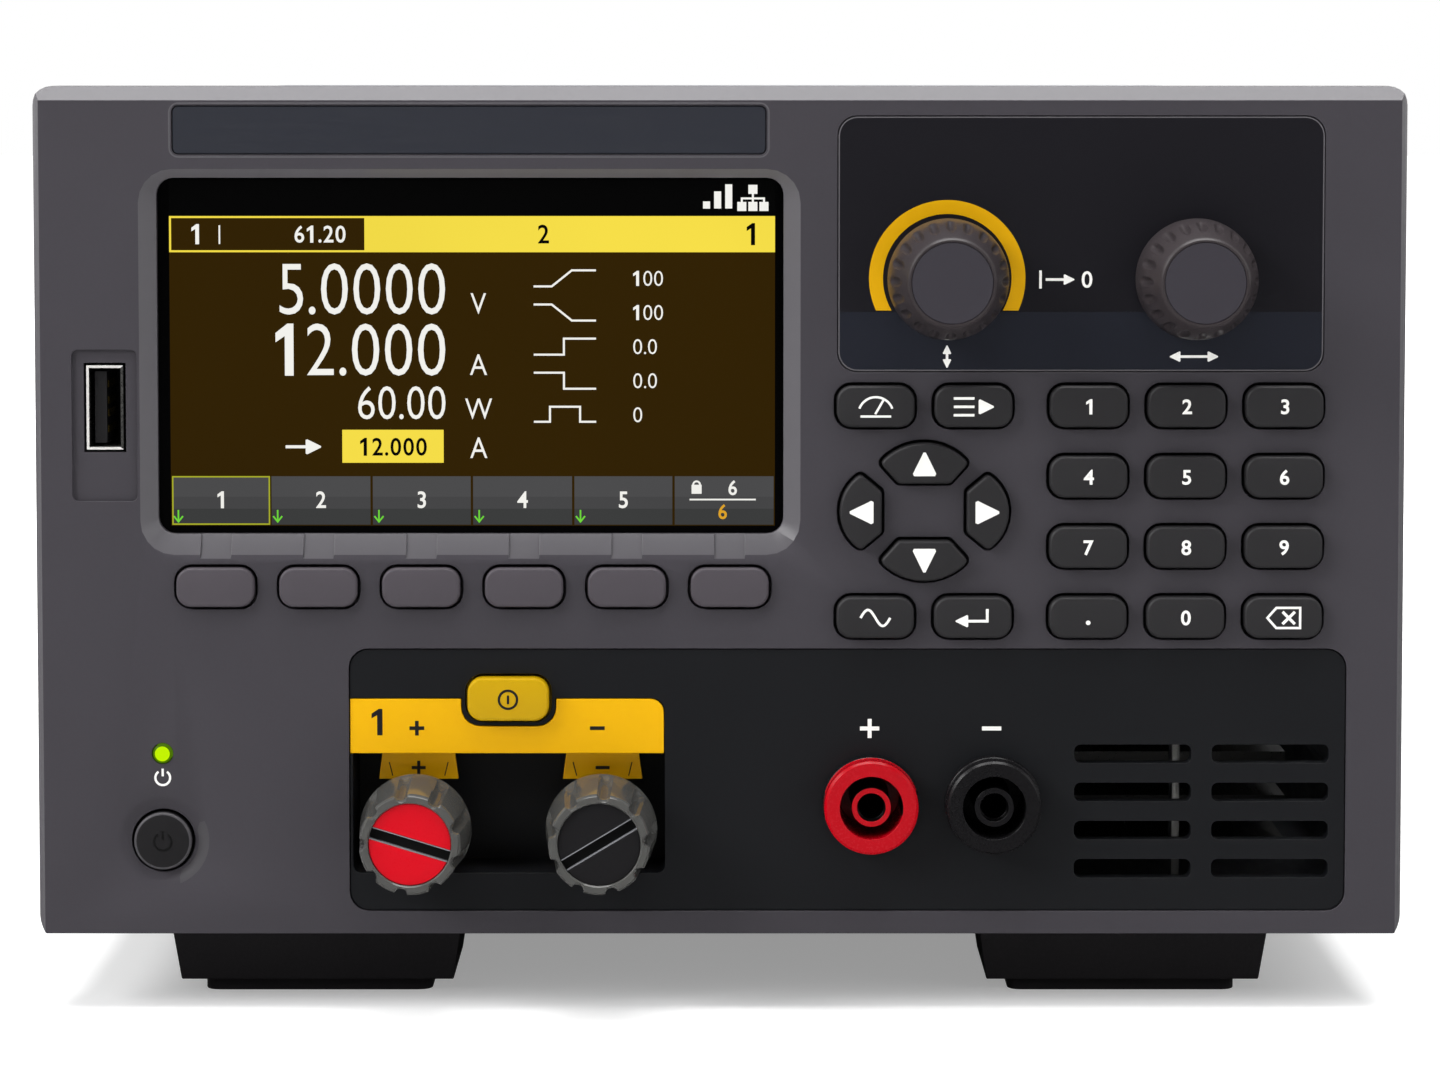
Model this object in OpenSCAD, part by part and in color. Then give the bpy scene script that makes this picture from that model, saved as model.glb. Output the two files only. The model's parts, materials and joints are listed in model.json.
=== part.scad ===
// Bench DC electronic load in a half-rack case.
// +X runs to the right across the front panel, +Y to the rear and +Z up.
// The origin is on the bench, under the middle of the whole box.
// Depths count back from the bezel's front face, so what stands proud of it has a negative depth.

/* [Case] */
// Width of the front bezel
bezel_w = 213; // [212:0.5:218]
// Height of the front bezel
bezel_h = 132.6; // [132.4:0.2:138]
// Depth from the bezel's face to the outside of the rear panel
body_d = 348; // [330:2:420]
// Depth of the bezel's skirt
bezel_depth = 11; // [10.5:0.5:14]
// Thickness of the bezel's front wall
bezel_wall = 3; // [2.8:0.1:3.4]
// Radius of the bezel's corners
bezel_corner = 3; // [2:0.5:5]
// Height of the bevel along the bezel's top edge
top_bevel = 2.2; // [1.6:0.1:3]
// Width of the bevels down the sides
side_bevel = 1.2; // [0.8:0.1:2]
// Height of the bevel along the bottom edge
low_bevel = 0.5; // [0.3:0.1:2]
// How far back the edge bevels run
bevel_depth = 2.5; // [1.6:0.1:2.8]
// Step from the bezel in to the sheet-metal case
cover_inset = 1.6; // [1.2:0.1:2]
// Sheet thickness of the cover and the tray
sheet = 1; // [0.8:0.1:1.2]
// Bend radius along the cover's top edges
cover_bend = 2.6; // [2:0.2:5]
// Thickness of the lip that the cover slides over
lip_t = 2; // [1.6:0.1:2.2]
// How far the lip reaches into the cover
lip_len = 5; // [4:0.5:8]
// Thickness of the rear panel
rear_t = 1.5; // [1.2:0.1:2]
// Height of the tray's side flanges
tray_flange = 14; // [12:1:20]

/* [Feet] */
// Height of the bezel's lower edge above the bench
foot_h = 12; // [8:0.5:18]
// Width of a foot where it meets the tray
foot_w = 46.8; // [40:0.2:52]
// Length of a foot from front to rear
foot_len = 28; // [22:1:36]
// Middle of the feet, in from the bezel's sides
foot_in = 42.3; // [36:0.1:50]
// How far a foot's sides draw in towards its sole
foot_draft = 1.7; // [0.5:0.1:2.5]
// Width of the sole
sole_w = 36.3; // [28:0.1:38]
// Length of the sole
sole_len = 20; // [14:1:21]
// Height of the sole
sole_h = 2.2; // [1.5:0.1:3]
// Gap from the bezel's skirt back to the front feet
foot_setback = 1.5; // [1:0.5:10]
// Gap from the rear panel forward to the rear feet
rear_foot_setback = 18; // [8:1:40]

/* [Display] */
// Left edge of the display window, in from the bezel's left side
window_left = 19.15; // [19:0.05:21]
// Right edge of the display window, in from the bezel's right side
window_right = 96.65; // [96:0.05:98]
// Upper edge of the display window, down from the bezel's top edge
window_top = 14.2; // [14:0.1:15]
// Lower edge of the display window, up from the bezel's lower edge
window_rise = 63; // [62.8:0.1:64]
// Corner radius of the window
window_r = 2.6; // [1.5:0.1:4]
// Width of the sloping frame beside the window
frame_side = 2.6; // [1.5:0.1:3]
// Width of the sloping frame under the window
frame_low = 3.1; // [2:0.1:3.4]
// Width of the sloping frame above the window
frame_top = 1.4; // [1:0.1:2.5]
// Depth of the sloping frame
frame_depth = 1.8; // [1.2:0.1:2.2]
// Width of the channel that leads from the window to each soft key
channel_w = 4.75; // [3:0.25:6]
// Depth of that channel
channel_depth = 0.3; // [0.2:0.1:0.5]
// Thickness of the clear lens
lens_t = 1.5; // [1.2:0.1:2]
// How far the lens reaches behind the bezel on each side
lens_lap = 2; // [1.5:0.1:2.4]
// How far the display module reaches past the window at each side
lcd_border = 4.5; // [4:0.1:4.7]
// How far the display module reaches past the window above and below, before its rise
lcd_border_h = 5.9; // [5.5:0.1:6.1]
// Thickness of the display module
lcd_t = 3; // [2.6:0.1:4]
// How far the module sits above the middle of the window
lcd_rise = 3; // [2.8:0.1:3.2]
// How much shorter the bare plate above the window is than the window
plate_short = 5.3; // [2:0.1:12]
// Height of the bare plate
plate_h = 7.6; // [5:0.2:8.4]
// Middle of the bare plate, down from the bezel's top edge
plate_drop = 6.8; // [6.6:0.1:7.4]
// Depth of the shallow recesses in the bezel's face
recess = 0.6; // [0.4:0.1:0.8]

/* [Keys] */
// Width of a keypad key
key_w = 12; // [10:0.1:12.6]
// Height of a keypad key
key_h = 6.4; // [5.6:0.1:6.6]
// Corner radius of the keys
key_r = 2.3; // [1.5:0.1:2.8]
// How far a keypad key stands out of the bezel
key_proud = 1.8; // [1.4:0.1:2.6]
// Bevel round the top of a key
key_chamfer = 0.5; // [0.3:0.1:0.7]
// Gap between a key and its opening
key_gap = 0.45; // [0.3:0.05:0.5]
// Travel of a key
key_travel = 1; // [0.6:0.1:1.2]
// How far a key's flange laps behind its opening
flange_lap = 0.3; // [0.2:0.05:0.4]
// Thickness of a key's flange
flange_t = 1; // [0.8:0.1:1.2]
// Radius of the stem that presses the switch
key_stem_r = 1.5; // [1:0.1:1.8]
// Space between two soft keys
softkey_space = 3.86; // [3:0.02:5]
// Height of a soft key
softkey_h = 6.1; // [5:0.1:6.4]
// How much six pitches of the soft keys fall short of the window's width
softkey_edge = 1.44; // [0:0.02:2]
// Soft keys stand off the window's middle by
softkey_shift = 0.35; // [-1:0.05:1]
// Middle of the soft keys, down from the window's lower edge
softkey_drop = 8.1; // [8:0.1:8.6]
// How far a soft key stands out of the bezel
softkey_proud = 1.2; // [0.9:0.1:1.8]
// Middle column of the number keys, in from the bezel's right side
number_in = 34.3; // [33.8:0.1:34.8]
// Pitch of the key columns
column_pitch = 15.14; // [14.8:0.02:15.4]
// Last row of keys, up from the bezel's lower edge
row_rise = 50.28; // [50.1:0.02:50.4]
// Pitch of the key rows
row_pitch = 10.94; // [10.8:0.02:11]
// Middle of the function keys and the arrow keys, in from the bezel's right side
function_in = 74.85; // [74.4:0.05:75.2]
// Length of the upper and lower arrow keys
arrow_w = 13.7; // [12:0.1:14.2]
// Height of the upper and lower arrow keys
arrow_h = 6.3; // [5.6:0.1:6.4]
// Straight inner edge of the upper and lower arrow keys
arrow_root = 8; // [6:0.1:8.6]
// Distance of the upper and lower arrow keys from their middle
arrow_reach = 7.6; // [7.4:0.05:7.7]
// Length of the left and right arrow keys
side_arrow_w = 11.8; // [10:0.1:12.4]
// Breadth of the left and right arrow keys
side_arrow_h = 6.5; // [5.6:0.1:6.8]
// Straight inner edge of the left and right arrow keys
side_arrow_root = 6.4; // [5:0.1:7]
// Distance of the left and right arrow keys from their middle
side_arrow_reach = 9.85; // [9.7:0.05:10.4]
// Rounding of the arrow keys' corners
arrow_r = 0.7; // [0.4:0.1:1]
// Width of the load key
load_w = 12.6; // [10:0.1:13]
// Height of the load key
load_h = 6.7; // [5.6:0.1:7]

/* [Standby] */
// Radius of the standby button
power_r = 4.5; // [3.6:0.1:5]
// Standby button and light, in from the bezel's left side
power_in = 19.7; // [18.5:0.1:22]
// Standby button, up from the bezel's lower edge
power_rise = 15.1; // [14:0.1:18]
// How far the standby button stands out of the bezel
power_proud = 0.5; // [0.3:0.1:1.2]
// Radius of the dish round the standby button
dish_r = 7.2; // [6.4:0.1:8]
// Depth of the dish
dish_depth = 0.6; // [0.3:0.1:0.8]
// Standby light, up from the standby button
light_rise = 13.7; // [12:0.1:16]
// Radius of the standby light
light_r = 1.5; // [1.2:0.1:1.8]
// How far the light's dome stands out of the bezel
light_proud = 0.5; // [0.3:0.1:0.8]

/* [USB socket] */
// Middle of the USB socket, in from the bezel's left side
usb_in = 11.1; // [10.9:0.1:11.5]
// Middle of the USB socket, down from the bezel's top edge
usb_drop = 49.8; // [49:0.1:51]
// Height of the USB shell on the panel
usb_h = 13.1; // [13:0.1:13.3]
// Width of the USB shell on the panel
usb_w = 5.7; // [5.6:0.1:5.8]
// Length of the USB shell
usb_len = 14.4; // [12:0.1:18]
// Width of the recess round the USB socket
usb_recess_w = 10.1; // [8:0.1:10.2]
// Height of the recess round the USB socket
usb_recess_h = 23.6; // [18:0.2:25]
// How far the USB socket sits above the middle of its recess
usb_offset = 2.8; // [0:0.1:3.4]

/* [Knobs] */
// Left knob, in from the overlay's left edge
knob_left = 16.85; // [16:0.05:18]
// Right knob, in from the overlay's right edge
knob_right = 20; // [19:0.05:21]
// Middle of the knobs, up from the overlay's lower edge
knob_rise = 14.4; // [13.8:0.1:15]
// Radius of a knob at its base
knob_r = 9.4; // [8.4:0.1:10]
// Radius of a knob's flat face
knob_face_r = 6.5; // [5.6:0.1:7]
// Length of a knob
knob_len = 14.3; // [13:0.1:16]
// Gap between a knob and the bezel
knob_lift = 1.2; // [1:0.1:1.6]
// Travel of a knob when it is pressed
knob_travel = 0.6; // [0.4:0.1:0.8]
// Number of grip dimples round a knob
dimples = 20; // [12:1:24]
// Radius of the cutter that makes a dimple
dimple_r = 0.9; // [0.6:0.1:1.1]
// Depth of a dimple
dimple_depth = 0.35; // [0.2:0.05:0.5]
// Radius of the stem that drives the encoder
stem_r = 3; // [2.6:0.1:3]
// Distance of the stem's flat from its axis
stem_flat = 2.2; // [1.8:0.1:2.4]
// Radius of the encoder's bushing
bush_r = 3.8; // [3.6:0.1:4.2]
// How far the bushing stands out of the bezel
bush_reach = 4; // [2:0.1:6]
// Side of the encoder's housing
encoder_w = 13; // [12:0.2:14]
// Radius of the encoder's rotor
rotor_r = 5; // [4.4:0.1:5.3]
// Width of the overlay round the knobs
overlay_w = 75.1; // [72:0.1:76]
// Lower edge of the overlay, up from the bezel's lower edge
overlay_rise = 88.5; // [88:0.1:89.5]
// Upper edge of the overlay, down from the bezel's top edge
overlay_top = 4.7; // [4:0.1:6]
// Corner radius of the overlay and of the terminal panel
overlay_r = 3; // [2:0.5:4]
// Middle of the overlay, in from the bezel's right side
overlay_in = 50.65; // [50.1:0.05:51.1]
// Thickness of the overlay
overlay_t = 0.5; // [0.3:0.1:0.5]

/* [Terminal panel] */
// Left edge of the terminal panel, in from the bezel's left side
panel_left = 48.9; // [48:0.1:50]
// Right edge of the terminal panel, in from the bezel's right side
panel_right = 9.2; // [8.6:0.1:10]
// Height of the terminal panel
panel_h = 40.9; // [40:0.1:41]
// Lower edge of the terminal panel, up from the bezel's lower edge
panel_rise = 4.2; // [4.2:0.1:4.4]
// How far the terminal panel's face lies behind the bezel's
panel_sink = 0.25; // [0.1:0.05:0.4]
// How far the panel's rear flange laps behind the bezel
panel_lap = 0.8; // [0.6:0.1:0.9]
// Thickness of the rear flange
panel_flange = 2; // [1.5:0.1:3]
// Width of the pocket that holds the posts
pocket_w = 48.6; // [46:0.1:50]
// Height of the pocket
pocket_h = 19.6; // [18:0.1:20]
// Lower edge of the pocket, up from the panel's lower edge
pocket_rise = 5.8; // [5:0.1:6.5]
// Depth of the pocket
pocket_d = 13; // [12.5:0.1:16]
// Thickness of the pocket's walls
pocket_wall = 1.5; // [1.2:0.1:2]
// Edge left between the pocket and the panel's left edge
pocket_edge = 0.4; // [0.3:0.1:1.5]
// Height of the yellow band above the pocket
band_h = 7.9; // [7:0.1:9]
// Thickness of the yellow band
band_t = 0.8; // [0.6:0.1:1]
// Width of the dark edge between the load key's opening and the band
band_notch = 0.5; // [0.4:0.1:1.4]
// Rounding of the band's free corner
band_r = 2.1; // [1:0.1:3]
// Rounding of the pocket's lower corners
pocket_r = 1.2; // [0.5:0.1:2]
// Width of a polarity tongue at its top
tongue_w = 11; // [8:0.1:12]
// How much wider a tongue is at its lower edge
tongue_flare = 1.5; // [0:0.1:2]
// Length of a polarity tongue below the pocket's ceiling
tongue_h = 5.8; // [4:0.1:6]
// Width of an air slot
slot_w = 18.2; // [14:0.1:18.6]
// Height of an air slot
slot_h = 2.95; // [2:0.05:3.4]
// Pitch of the two columns of air slots
slot_column = 21.4; // [21:0.1:22]
// Pitch of the rows of air slots
slot_row = 6; // [5.4:0.1:6.3]
// Middle of the air slots, in from the bezel's right side
slot_in = 31.5; // [31:0.1:32.2]
// Lowest air slot, up from the panel's lower edge
slot_rise = 6.5; // [5:0.1:7]

/* [Input posts] */
// Distance between the two posts
post_pitch = 28.9; // [27:0.1:29.5]
// Axis of the posts, up from the pocket's floor
post_rise = 7.1; // [6.8:0.1:8]
// Radius of the threaded stud
stud_r = 4; // [3.4:0.1:4.2]
// Radius of the boss that carries a stud
boss_r = 6; // [5.4:0.1:6.2]
// Depth of the face that the collar clamps against
post_seat = 5; // [4.8:0.1:6]
// Radius of the pressure collar
collar_r = 6.8; // [6:0.1:6.8]
// Thickness of the pressure collar
collar_t = 2.2; // [1.8:0.1:2.4]
// Radius of a cap at its rear rim
cap_r = 8.75; // [8:0.05:9.5]
// Radius of a cap at its front rim
cap_front_r = 7.8; // [7.2:0.05:8.2]
// Length of a cap in front of the bezel
cap_len = 13.8; // [13:0.1:15]
// Plain rim behind the grooves of a cap
groove_from = 1.3; // [0.8:0.1:3]
// Gap between the bezel's face and a cap's rear rim
cap_lift = 0.8; // [0.6:0.1:1.2]
// Radius of the neck behind a cap
neck_r = 6.2; // [5.4:0.1:6.4]
// Number of grip lobes round a cap
lobes = 9; // [7:1:10]
// Radius of the cutter that makes a grip groove
scallop_r = 1.5; // [1:0.1:2]
// Depth of a grip groove
scallop_depth = 0.9; // [0.5:0.1:1.1]
// Radius of the coloured disc in a cap's face
disc_r = 6.3; // [5.4:0.1:6.6]
// How far the disc lies behind the front rim
disc_sink = 0.5; // [0.3:0.1:0.8]
// Width of the screwdriver slot across the disc
driver_w = 1.9; // [1.2:0.1:2.4]
// Depth of the screwdriver slot
driver_depth = 0.9; // [0.5:0.1:1.2]
// Depth at which a stud ends inside its cap, counted forward of the bezel
stud_reach = 9.5; // [8:0.1:10]
// Thickness of the hexagonal shoulder behind the panel
shoulder_t = 4; // [3:0.5:5]
// Width across the corners of the shoulder and the nut
hex_w = 15; // [12.5:0.5:16]
// Thickness of the nut behind the copper bar
nut_t = 4; // [3:0.5:5]

/* [Sense jacks] */
// Left sense jack, in from the bezel's right side
jack_in = 83.05; // [82.4:0.05:83.8]
// Distance between the two sense jacks
jack_pitch = 19.05; // [18.5:0.05:19.6]
// Axis of the sense jacks, up from the panel's lower edge
jack_rise = 16.8; // [15:0.1:18]
// Radius of a jack's collar
jack_r = 7.5; // [7:0.1:8]
// How far a jack stands out of the bezel
jack_reach = 4.6; // [3.5:0.1:6]
// Radius of the shroud's hole
shroud_r = 4.9; // [4.5:0.1:5]
// Radius of the contact tube
contact_r = 3.05; // [2.8:0.05:3.2]
// Radius of the hole that takes a 4 mm plug
bore_r = 2; // [1.95:0.01:2.05]
// Length of that hole
bore_len = 16; // [14:0.5:20]
// Radius of the barrel through the panel
barrel_r = 6; // [5.6:0.1:6.2]
// Depth of the barrel's rear end
barrel_d = 18; // [17:0.5:22]
// Radius of the solder pin
pin_r = 1.5; // [1:0.1:2]
// Length of the solder pin
pin_len = 6; // [4:0.5:8]
// Width across the corners of a jack's nut
jack_nut_w = 17; // [15:0.5:18]
// Thickness of a jack's nut
jack_nut_t = 3; // [2:0.1:4]

/* [Rear] */
// Mains inlet, in from the left side of the tray
inlet_in = 37.75; // [34:0.25:44]
// Mains inlet, up from the tray
inlet_rise = 62; // [50:1:90]
// Width of the inlet's body
inlet_w = 27; // [26.6:0.1:28]
// Height of the inlet's body
inlet_h = 19.8; // [19.4:0.1:21]
// Length of the inlet's body in the case
inlet_len = 20; // [18:0.5:26]
// How far the inlet's flange laps on the rear panel
inlet_lap = 2.2; // [1.5:0.1:4]
// Thickness of the inlet's flange
inlet_flange = 2.4; // [1.8:0.1:3]
// Network socket, in from the left side of the tray
lan_in = 23.75; // [22:0.25:26]
// Rear USB socket, in from the left side of the tray
usb_b_in = 45.75; // [44:0.25:50]
// Control terminals, in from the left side of the tray
terminals_in = 71.75; // [69:0.25:76]
// How far the board's sockets stand out of the rear panel
socket_proud = 0.6; // [0.3:0.1:1]

/* [Fan] */
// Side of the fan's frame
fan_w = 80; // [79:0.2:81]
// Thickness of the fan
fan_t = 25; // [22:0.5:30]
// Gap between the fan's frame and the tray's right flange
fan_side = 11.75; // [10.5:0.25:13]
// Gap between the tray and the fan's frame
fan_rise = 2.4; // [1.5:0.1:6]
// Wall of the frame at the middle of its sides
fan_wall = 1.8; // [1.5:0.1:2.5]
// Gap between the blade tips and the frame
blade_gap = 1; // [0.7:0.1:1.5]
// Number of blades
blades = 7; // [5:1:9]
// Tilt of the blades
blade_tilt = 42; // [30:1:55]
// Thickness of a blade
blade_t = 1.5; // [1.2:0.1:2]
// Radius of the fan's hub
hub_r = 15; // [13:0.5:18]
// Radius of the fan's shaft
shaft_r = 1.5; // [1.2:0.1:1.8]
// Radius of the bearing tube
bearing_r = 4; // [3.2:0.1:5]
// Distance of the fan's screws from its middle
fan_screw = 35.75; // [35.4:0.05:36]
// Width of the slots in the fan grille
grille_slot = 3.4; // [2.5:0.1:3.8]
// Pitch of the slots in the fan grille
grille_pitch = 6; // [5.6:0.1:6.4]

/* [Inside] */
// Thickness of the circuit boards
board_t = 1.6; // [1.2:0.1:2]
// Height of the standoffs under the main board
standoff_h = 8; // [6.5:0.5:10]
// Front edge of the main board, back from the bezel's face
main_front = 45; // [40:1:60]
// Gap between the main board and the power transistors
main_gap = 5; // [4:0.5:7]
// Least gap between the main board and the fan
fan_space = 2; // [1:0.5:4]
// Gap from the right copper bar to the heatsink
sink_space = 15.45; // [14:0.05:18]
// Thickness of the heatsink's base
sink_base = 6; // [5:0.5:7]
// Height of the heatsink
sink_h = 84; // [70:1:100]
// Gap between the fins and the tray's right flange
fin_gap = 6.75; // [4:0.25:20]
// Number of fins
fins = 12; // [8:1:14]
// Thickness of a fin
fin_t = 1.8; // [1.4:0.1:2.5]
// Front end of the heatsink, back from the bezel's face
sink_front = 60; // [50:1:80]
// Gap from the heatsink's rear end to the fan
sink_gap = 20; // [10:1:40]
// Width of a power transistor
transistor_w = 16; // [14:0.5:18]
// Height of a power transistor
transistor_h = 21; // [19:0.5:24]
// Thickness of a power transistor
transistor_t = 5; // [4:0.2:5.5]
// Pitch of the power transistors
transistor_pitch = 26; // [20:1:30]
// Number of power transistors in each of two rows
transistors = 6; // [3:1:7]
// Width of a copper bar
bar_w = 14; // [10:0.5:16]
// Thickness of a copper bar
bar_t = 2; // [1.5:0.1:3]
// How far a copper bar runs along the main board
bar_run = 60; // [30:2:90]

/* [Fits] */
// Gap of a shaft in the hole that it turns or slides in
running = 0.06; // [0.03:0.01:0.09]
// Gap behind a flange that rests against a wall
seat_gap = 0.1; // [0.05:0.05:0.2]
// Gap round a part that is set in an opening
fit_gap = 0.15; // [0.1:0.05:0.2]
// Radius of the screws
screw_r = 1.5; // [1.2:0.05:1.5]
// Radius of the screws' heads
head_r = 2.8; // [2.4:0.1:2.9]
// Height of the screws' heads
head_h = 1.5; // [1.1:0.1:1.6]
// Gap round a screw in its hole
screw_gap = 0.15; // [0.1:0.05:0.3]

/* [Hidden] */
$fn = 48;

// Levels of the case, up from the bench
bezel_z0 = foot_h;
bezel_z1 = foot_h + bezel_h;
bezel_mid = (bezel_z0 + bezel_z1) / 2;
shell_z0 = bezel_z0 + cover_inset;
tray_top = shell_z0 + sheet;
roof_z = bezel_z1 - cover_inset - sheet;

// Widths of the case
shell_w = bezel_w - 2 * cover_inset;
inner_w = shell_w - 2 * sheet - 2 * fit_gap;

// Where the bezel's face lies along Y, with the whole box centred on the origin
front_reach = max(knob_lift + knob_len, cap_lift + cap_len);
face_y = front_reach - (front_reach + body_d + inlet_flange) / 2;

// Skirt and lip of the bezel, as insets from its outline
lip_bite = 0.4;
skirt_t = cover_inset + sheet + lip_bite;
lip_out = cover_inset + sheet + fit_gap;
lip_in = lip_out + lip_t;
lip_root = 3;

// Stack of depths behind the bezel's front wall
board_d = bezel_wall + lens_t + lcd_t;
board_back = board_d + board_t;
flange_d = bezel_wall + seat_gap;
switch_room = 0.3;
stem_end = board_d - key_travel - switch_room;

// Display and its keys
window_w = bezel_w - window_left - window_right;
window_x = (window_left - window_right) / 2;
window_h = bezel_h - window_top - window_rise;
window_z = bezel_z0 + window_rise + window_h / 2;
lcd_w = window_w + 2 * lcd_border;
lcd_h = window_h + 2 * lcd_border_h;
softkey_x = window_x + softkey_shift;
softkey_pitch = (window_w - softkey_edge) / 6;
softkey_w = softkey_pitch - softkey_space;
plate_w = window_w - plate_short;
softkey_z = window_z - window_h / 2 - softkey_drop;
plate_z = bezel_z1 - plate_drop;

// Keypad, standby button, knobs and USB socket
function row_z(i) = bezel_z0 + row_rise + (3 - i) * row_pitch;
number_x = bezel_w / 2 - number_in;
function_x = bezel_w / 2 - function_in;
arrow_z = (row_z(0) + row_z(3)) / 2;
power_x = power_in - bezel_w / 2;
power_z = bezel_z0 + power_rise;
light_z = power_z + light_rise;
light_flange = 0.9;
dish_floor = 1;
overlay_x = bezel_w / 2 - overlay_in;
overlay_h = bezel_h - overlay_rise - overlay_top;
overlay_z = bezel_z0 + overlay_rise + overlay_h / 2;
knob_x = overlay_x - overlay_w / 2 + knob_left;
knob_pitch = overlay_w - knob_left - knob_right;
knob_z = bezel_z0 + overlay_rise + knob_rise;
usb_x = usb_in - bezel_w / 2;
usb_z = bezel_z1 - usb_drop;
usb_front = recess;
usb_back = usb_front + usb_len;
usb_sheet = 0.4;
usb_tab = 1.6;
usb_gap = 0.4;

// Terminal panel
panel_w = bezel_w - panel_left - panel_right;
panel_x = (panel_left - panel_right) / 2;
panel_x0 = panel_left - bezel_w / 2;
panel_z0 = bezel_z0 + panel_rise;
panel_z1 = panel_z0 + panel_h;
panel_mid = (panel_z0 + panel_z1) / 2;
pocket_x0 = panel_x0 + pocket_edge;
pocket_x = pocket_x0 + pocket_w / 2;
pocket_z0 = panel_z0 + pocket_rise;
pocket_z1 = pocket_z0 + pocket_h;
pocket_back = pocket_d + pocket_wall;
band_w = pocket_w + pocket_edge;
band_z1 = pocket_z1 + band_h;
load_z = band_z1;
tongue_d = post_seat + 1;
slot_x = bezel_w / 2 - slot_in;
slot_z0 = panel_z0 + slot_rise;

// Input posts
post_z = pocket_z0 + post_rise;
function post_x(side) = pocket_x + side * post_pitch / 2;
collar_front = post_seat - seat_gap - collar_t;
cap_tip = cap_lift + cap_len;
cap_floor = 1.4;
cap_draft = atan((cap_r - cap_front_r) / cap_len);
bar_d = pocket_back + shoulder_t;
nut_d = bar_d + bar_t;
stud_d = nut_d + nut_t + 1;

// Sense jacks
jack_x = bezel_w / 2 - jack_in;
jack_z = panel_z0 + jack_rise;
function jack_at(side) = jack_x + (side + 1) / 2 * jack_pitch;
contact_sink = 0.8;
lead_in = 1.8;

// Encoders
encoder_front = bezel_wall + seat_gap;
encoder_wall = 0.8;
rotor_play = 0.15;
rotor_front = encoder_front + encoder_wall + rotor_play;
rotor_back = board_d - encoder_wall - rotor_play;
knob_stem_end = board_d - encoder_wall - knob_travel - rotor_play;
knob_tip = knob_lift + knob_len;
knob_bore_top = bush_reach + knob_travel + 0.6;

// Front board
board_edge = 0.8;
board_half = bezel_w / 2 - lip_in - board_edge;
board_low = panel_z1 + panel_lap + board_edge;
board_high = bezel_z1 - lip_in - board_edge;
leg_low = bezel_z0 + lip_in + 3;
leg_right = panel_x0 - panel_lap - 3;
load_tongue = 8;
board_post_r = 3;
board_post_in = lip_in + board_post_r + board_edge;
board_post_x = bezel_w / 2 - board_post_in;
board_post_gap = 3.15;
board_posts = [
    [-board_post_x, bezel_z1 - board_post_in - 4],
    [-board_post_x, softkey_z - 1],
    [window_x + lcd_w / 2 + board_post_gap + board_post_r, bezel_z1 - board_post_in - 1],
    [board_post_x, bezel_z1 - board_post_in - 1],
    [board_post_x, board_low + board_post_r + 1],
    [leg_right - board_post_r - 1, leg_low + board_post_r + 1],
];

// Rear and inside
rear_in = body_d - rear_t;
flange_x = inner_w / 2 - sheet;
fan_x = flange_x - fan_side - fan_w / 2;
fan_z = tray_top + fan_rise + fan_w / 2;
fan_front = rear_in - fan_t;
fan_bore = fan_w / 2 - fan_wall;
main_z = tray_top + standoff_h;
main_top = main_z + board_t;
sink_x = post_x(1) + bar_w / 2 + sink_space;
fin_w = flange_x - fin_gap - sink_x - sink_base;
main_left = 3 - flange_x;
main_right = min(sink_x - transistor_t - main_gap, fan_x - fan_w / 2 - fan_space);
main_back = rear_in - sheet - 1.5;
standoff_r = 3.4;
standoff_in = 6;
standoffs = [
    [main_left + standoff_in, main_front + standoff_in],
    [main_right - standoff_in + 2, main_front + standoff_in],
    [main_left + standoff_in, main_back - 40],
    [main_right - standoff_in, main_back - 40],
];
sink_back = fan_front - sink_gap;
inlet_x = inlet_in - inner_w / 2;
inlet_z = tray_top + inlet_rise;
tab_w = 11;
tab_h = 8;
tab_z = tray_top + tab_h / 2 + 0.6;
tab_gap = 5;
tabs = [tab_w - inner_w / 2, fan_x - fan_w / 2 - tab_gap - tab_w / 2, flange_x - tab_w / 2];
tray_start = bezel_depth + lip_len + 0.6;
cover_screw_front = 14;
cover_screw_rear = 60;
cover_screws = [tray_start + cover_screw_front, body_d - cover_screw_rear];
cover_screw_z = tray_top + tray_flange / 2 + 1;
foot_x = bezel_w / 2 - foot_in;
front_foot = bezel_depth + foot_setback + foot_len / 2;
rear_foot = body_d - rear_foot_setback - foot_len / 2;
foot_seat = sole_h + 5;
hole_r = screw_r + screw_gap;

// Every key: its name, its place on the panel and its kind
KEYS = concat(
    [for (i = [1:6]) [str("softkey_", i), softkey_x + (i - 3.5) * softkey_pitch, softkey_z, "soft"]],
    [
        for (row = [0:2], column = [-1:1])
            [str("key_", 3 * row + column + 2), number_x + column * column_pitch, row_z(row), "pad"]
    ],
    [
        ["key_point", number_x - column_pitch, row_z(3), "pad"],
        ["key_0", number_x, row_z(3), "pad"],
        ["key_clear", number_x + column_pitch, row_z(3), "pad"],
        ["meter_key", function_x - column_pitch / 2, row_z(0), "pad"],
        ["list_key", function_x + column_pitch / 2, row_z(0), "pad"],
        ["scope_key", function_x - column_pitch / 2, row_z(3), "pad"],
        ["enter_key", function_x + column_pitch / 2, row_z(3), "pad"],
        ["arrow_up", function_x, arrow_z + arrow_reach, "up"],
        ["arrow_down", function_x, arrow_z - arrow_reach, "down"],
        ["arrow_left", function_x - side_arrow_reach, arrow_z, "left"],
        ["arrow_right", function_x + side_arrow_reach, arrow_z, "right"],
        ["load_key", pocket_x, load_z, "load"],
        ["power_button", power_x, power_z, "power"],
    ]
);

// Points along an arc
function arc(x, y, r, start, end, steps) = [
    for (i = [0:steps]) let (a = start + (end - start) * i / steps) [x + r * cos(a), y + r * sin(a)]
];

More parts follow.
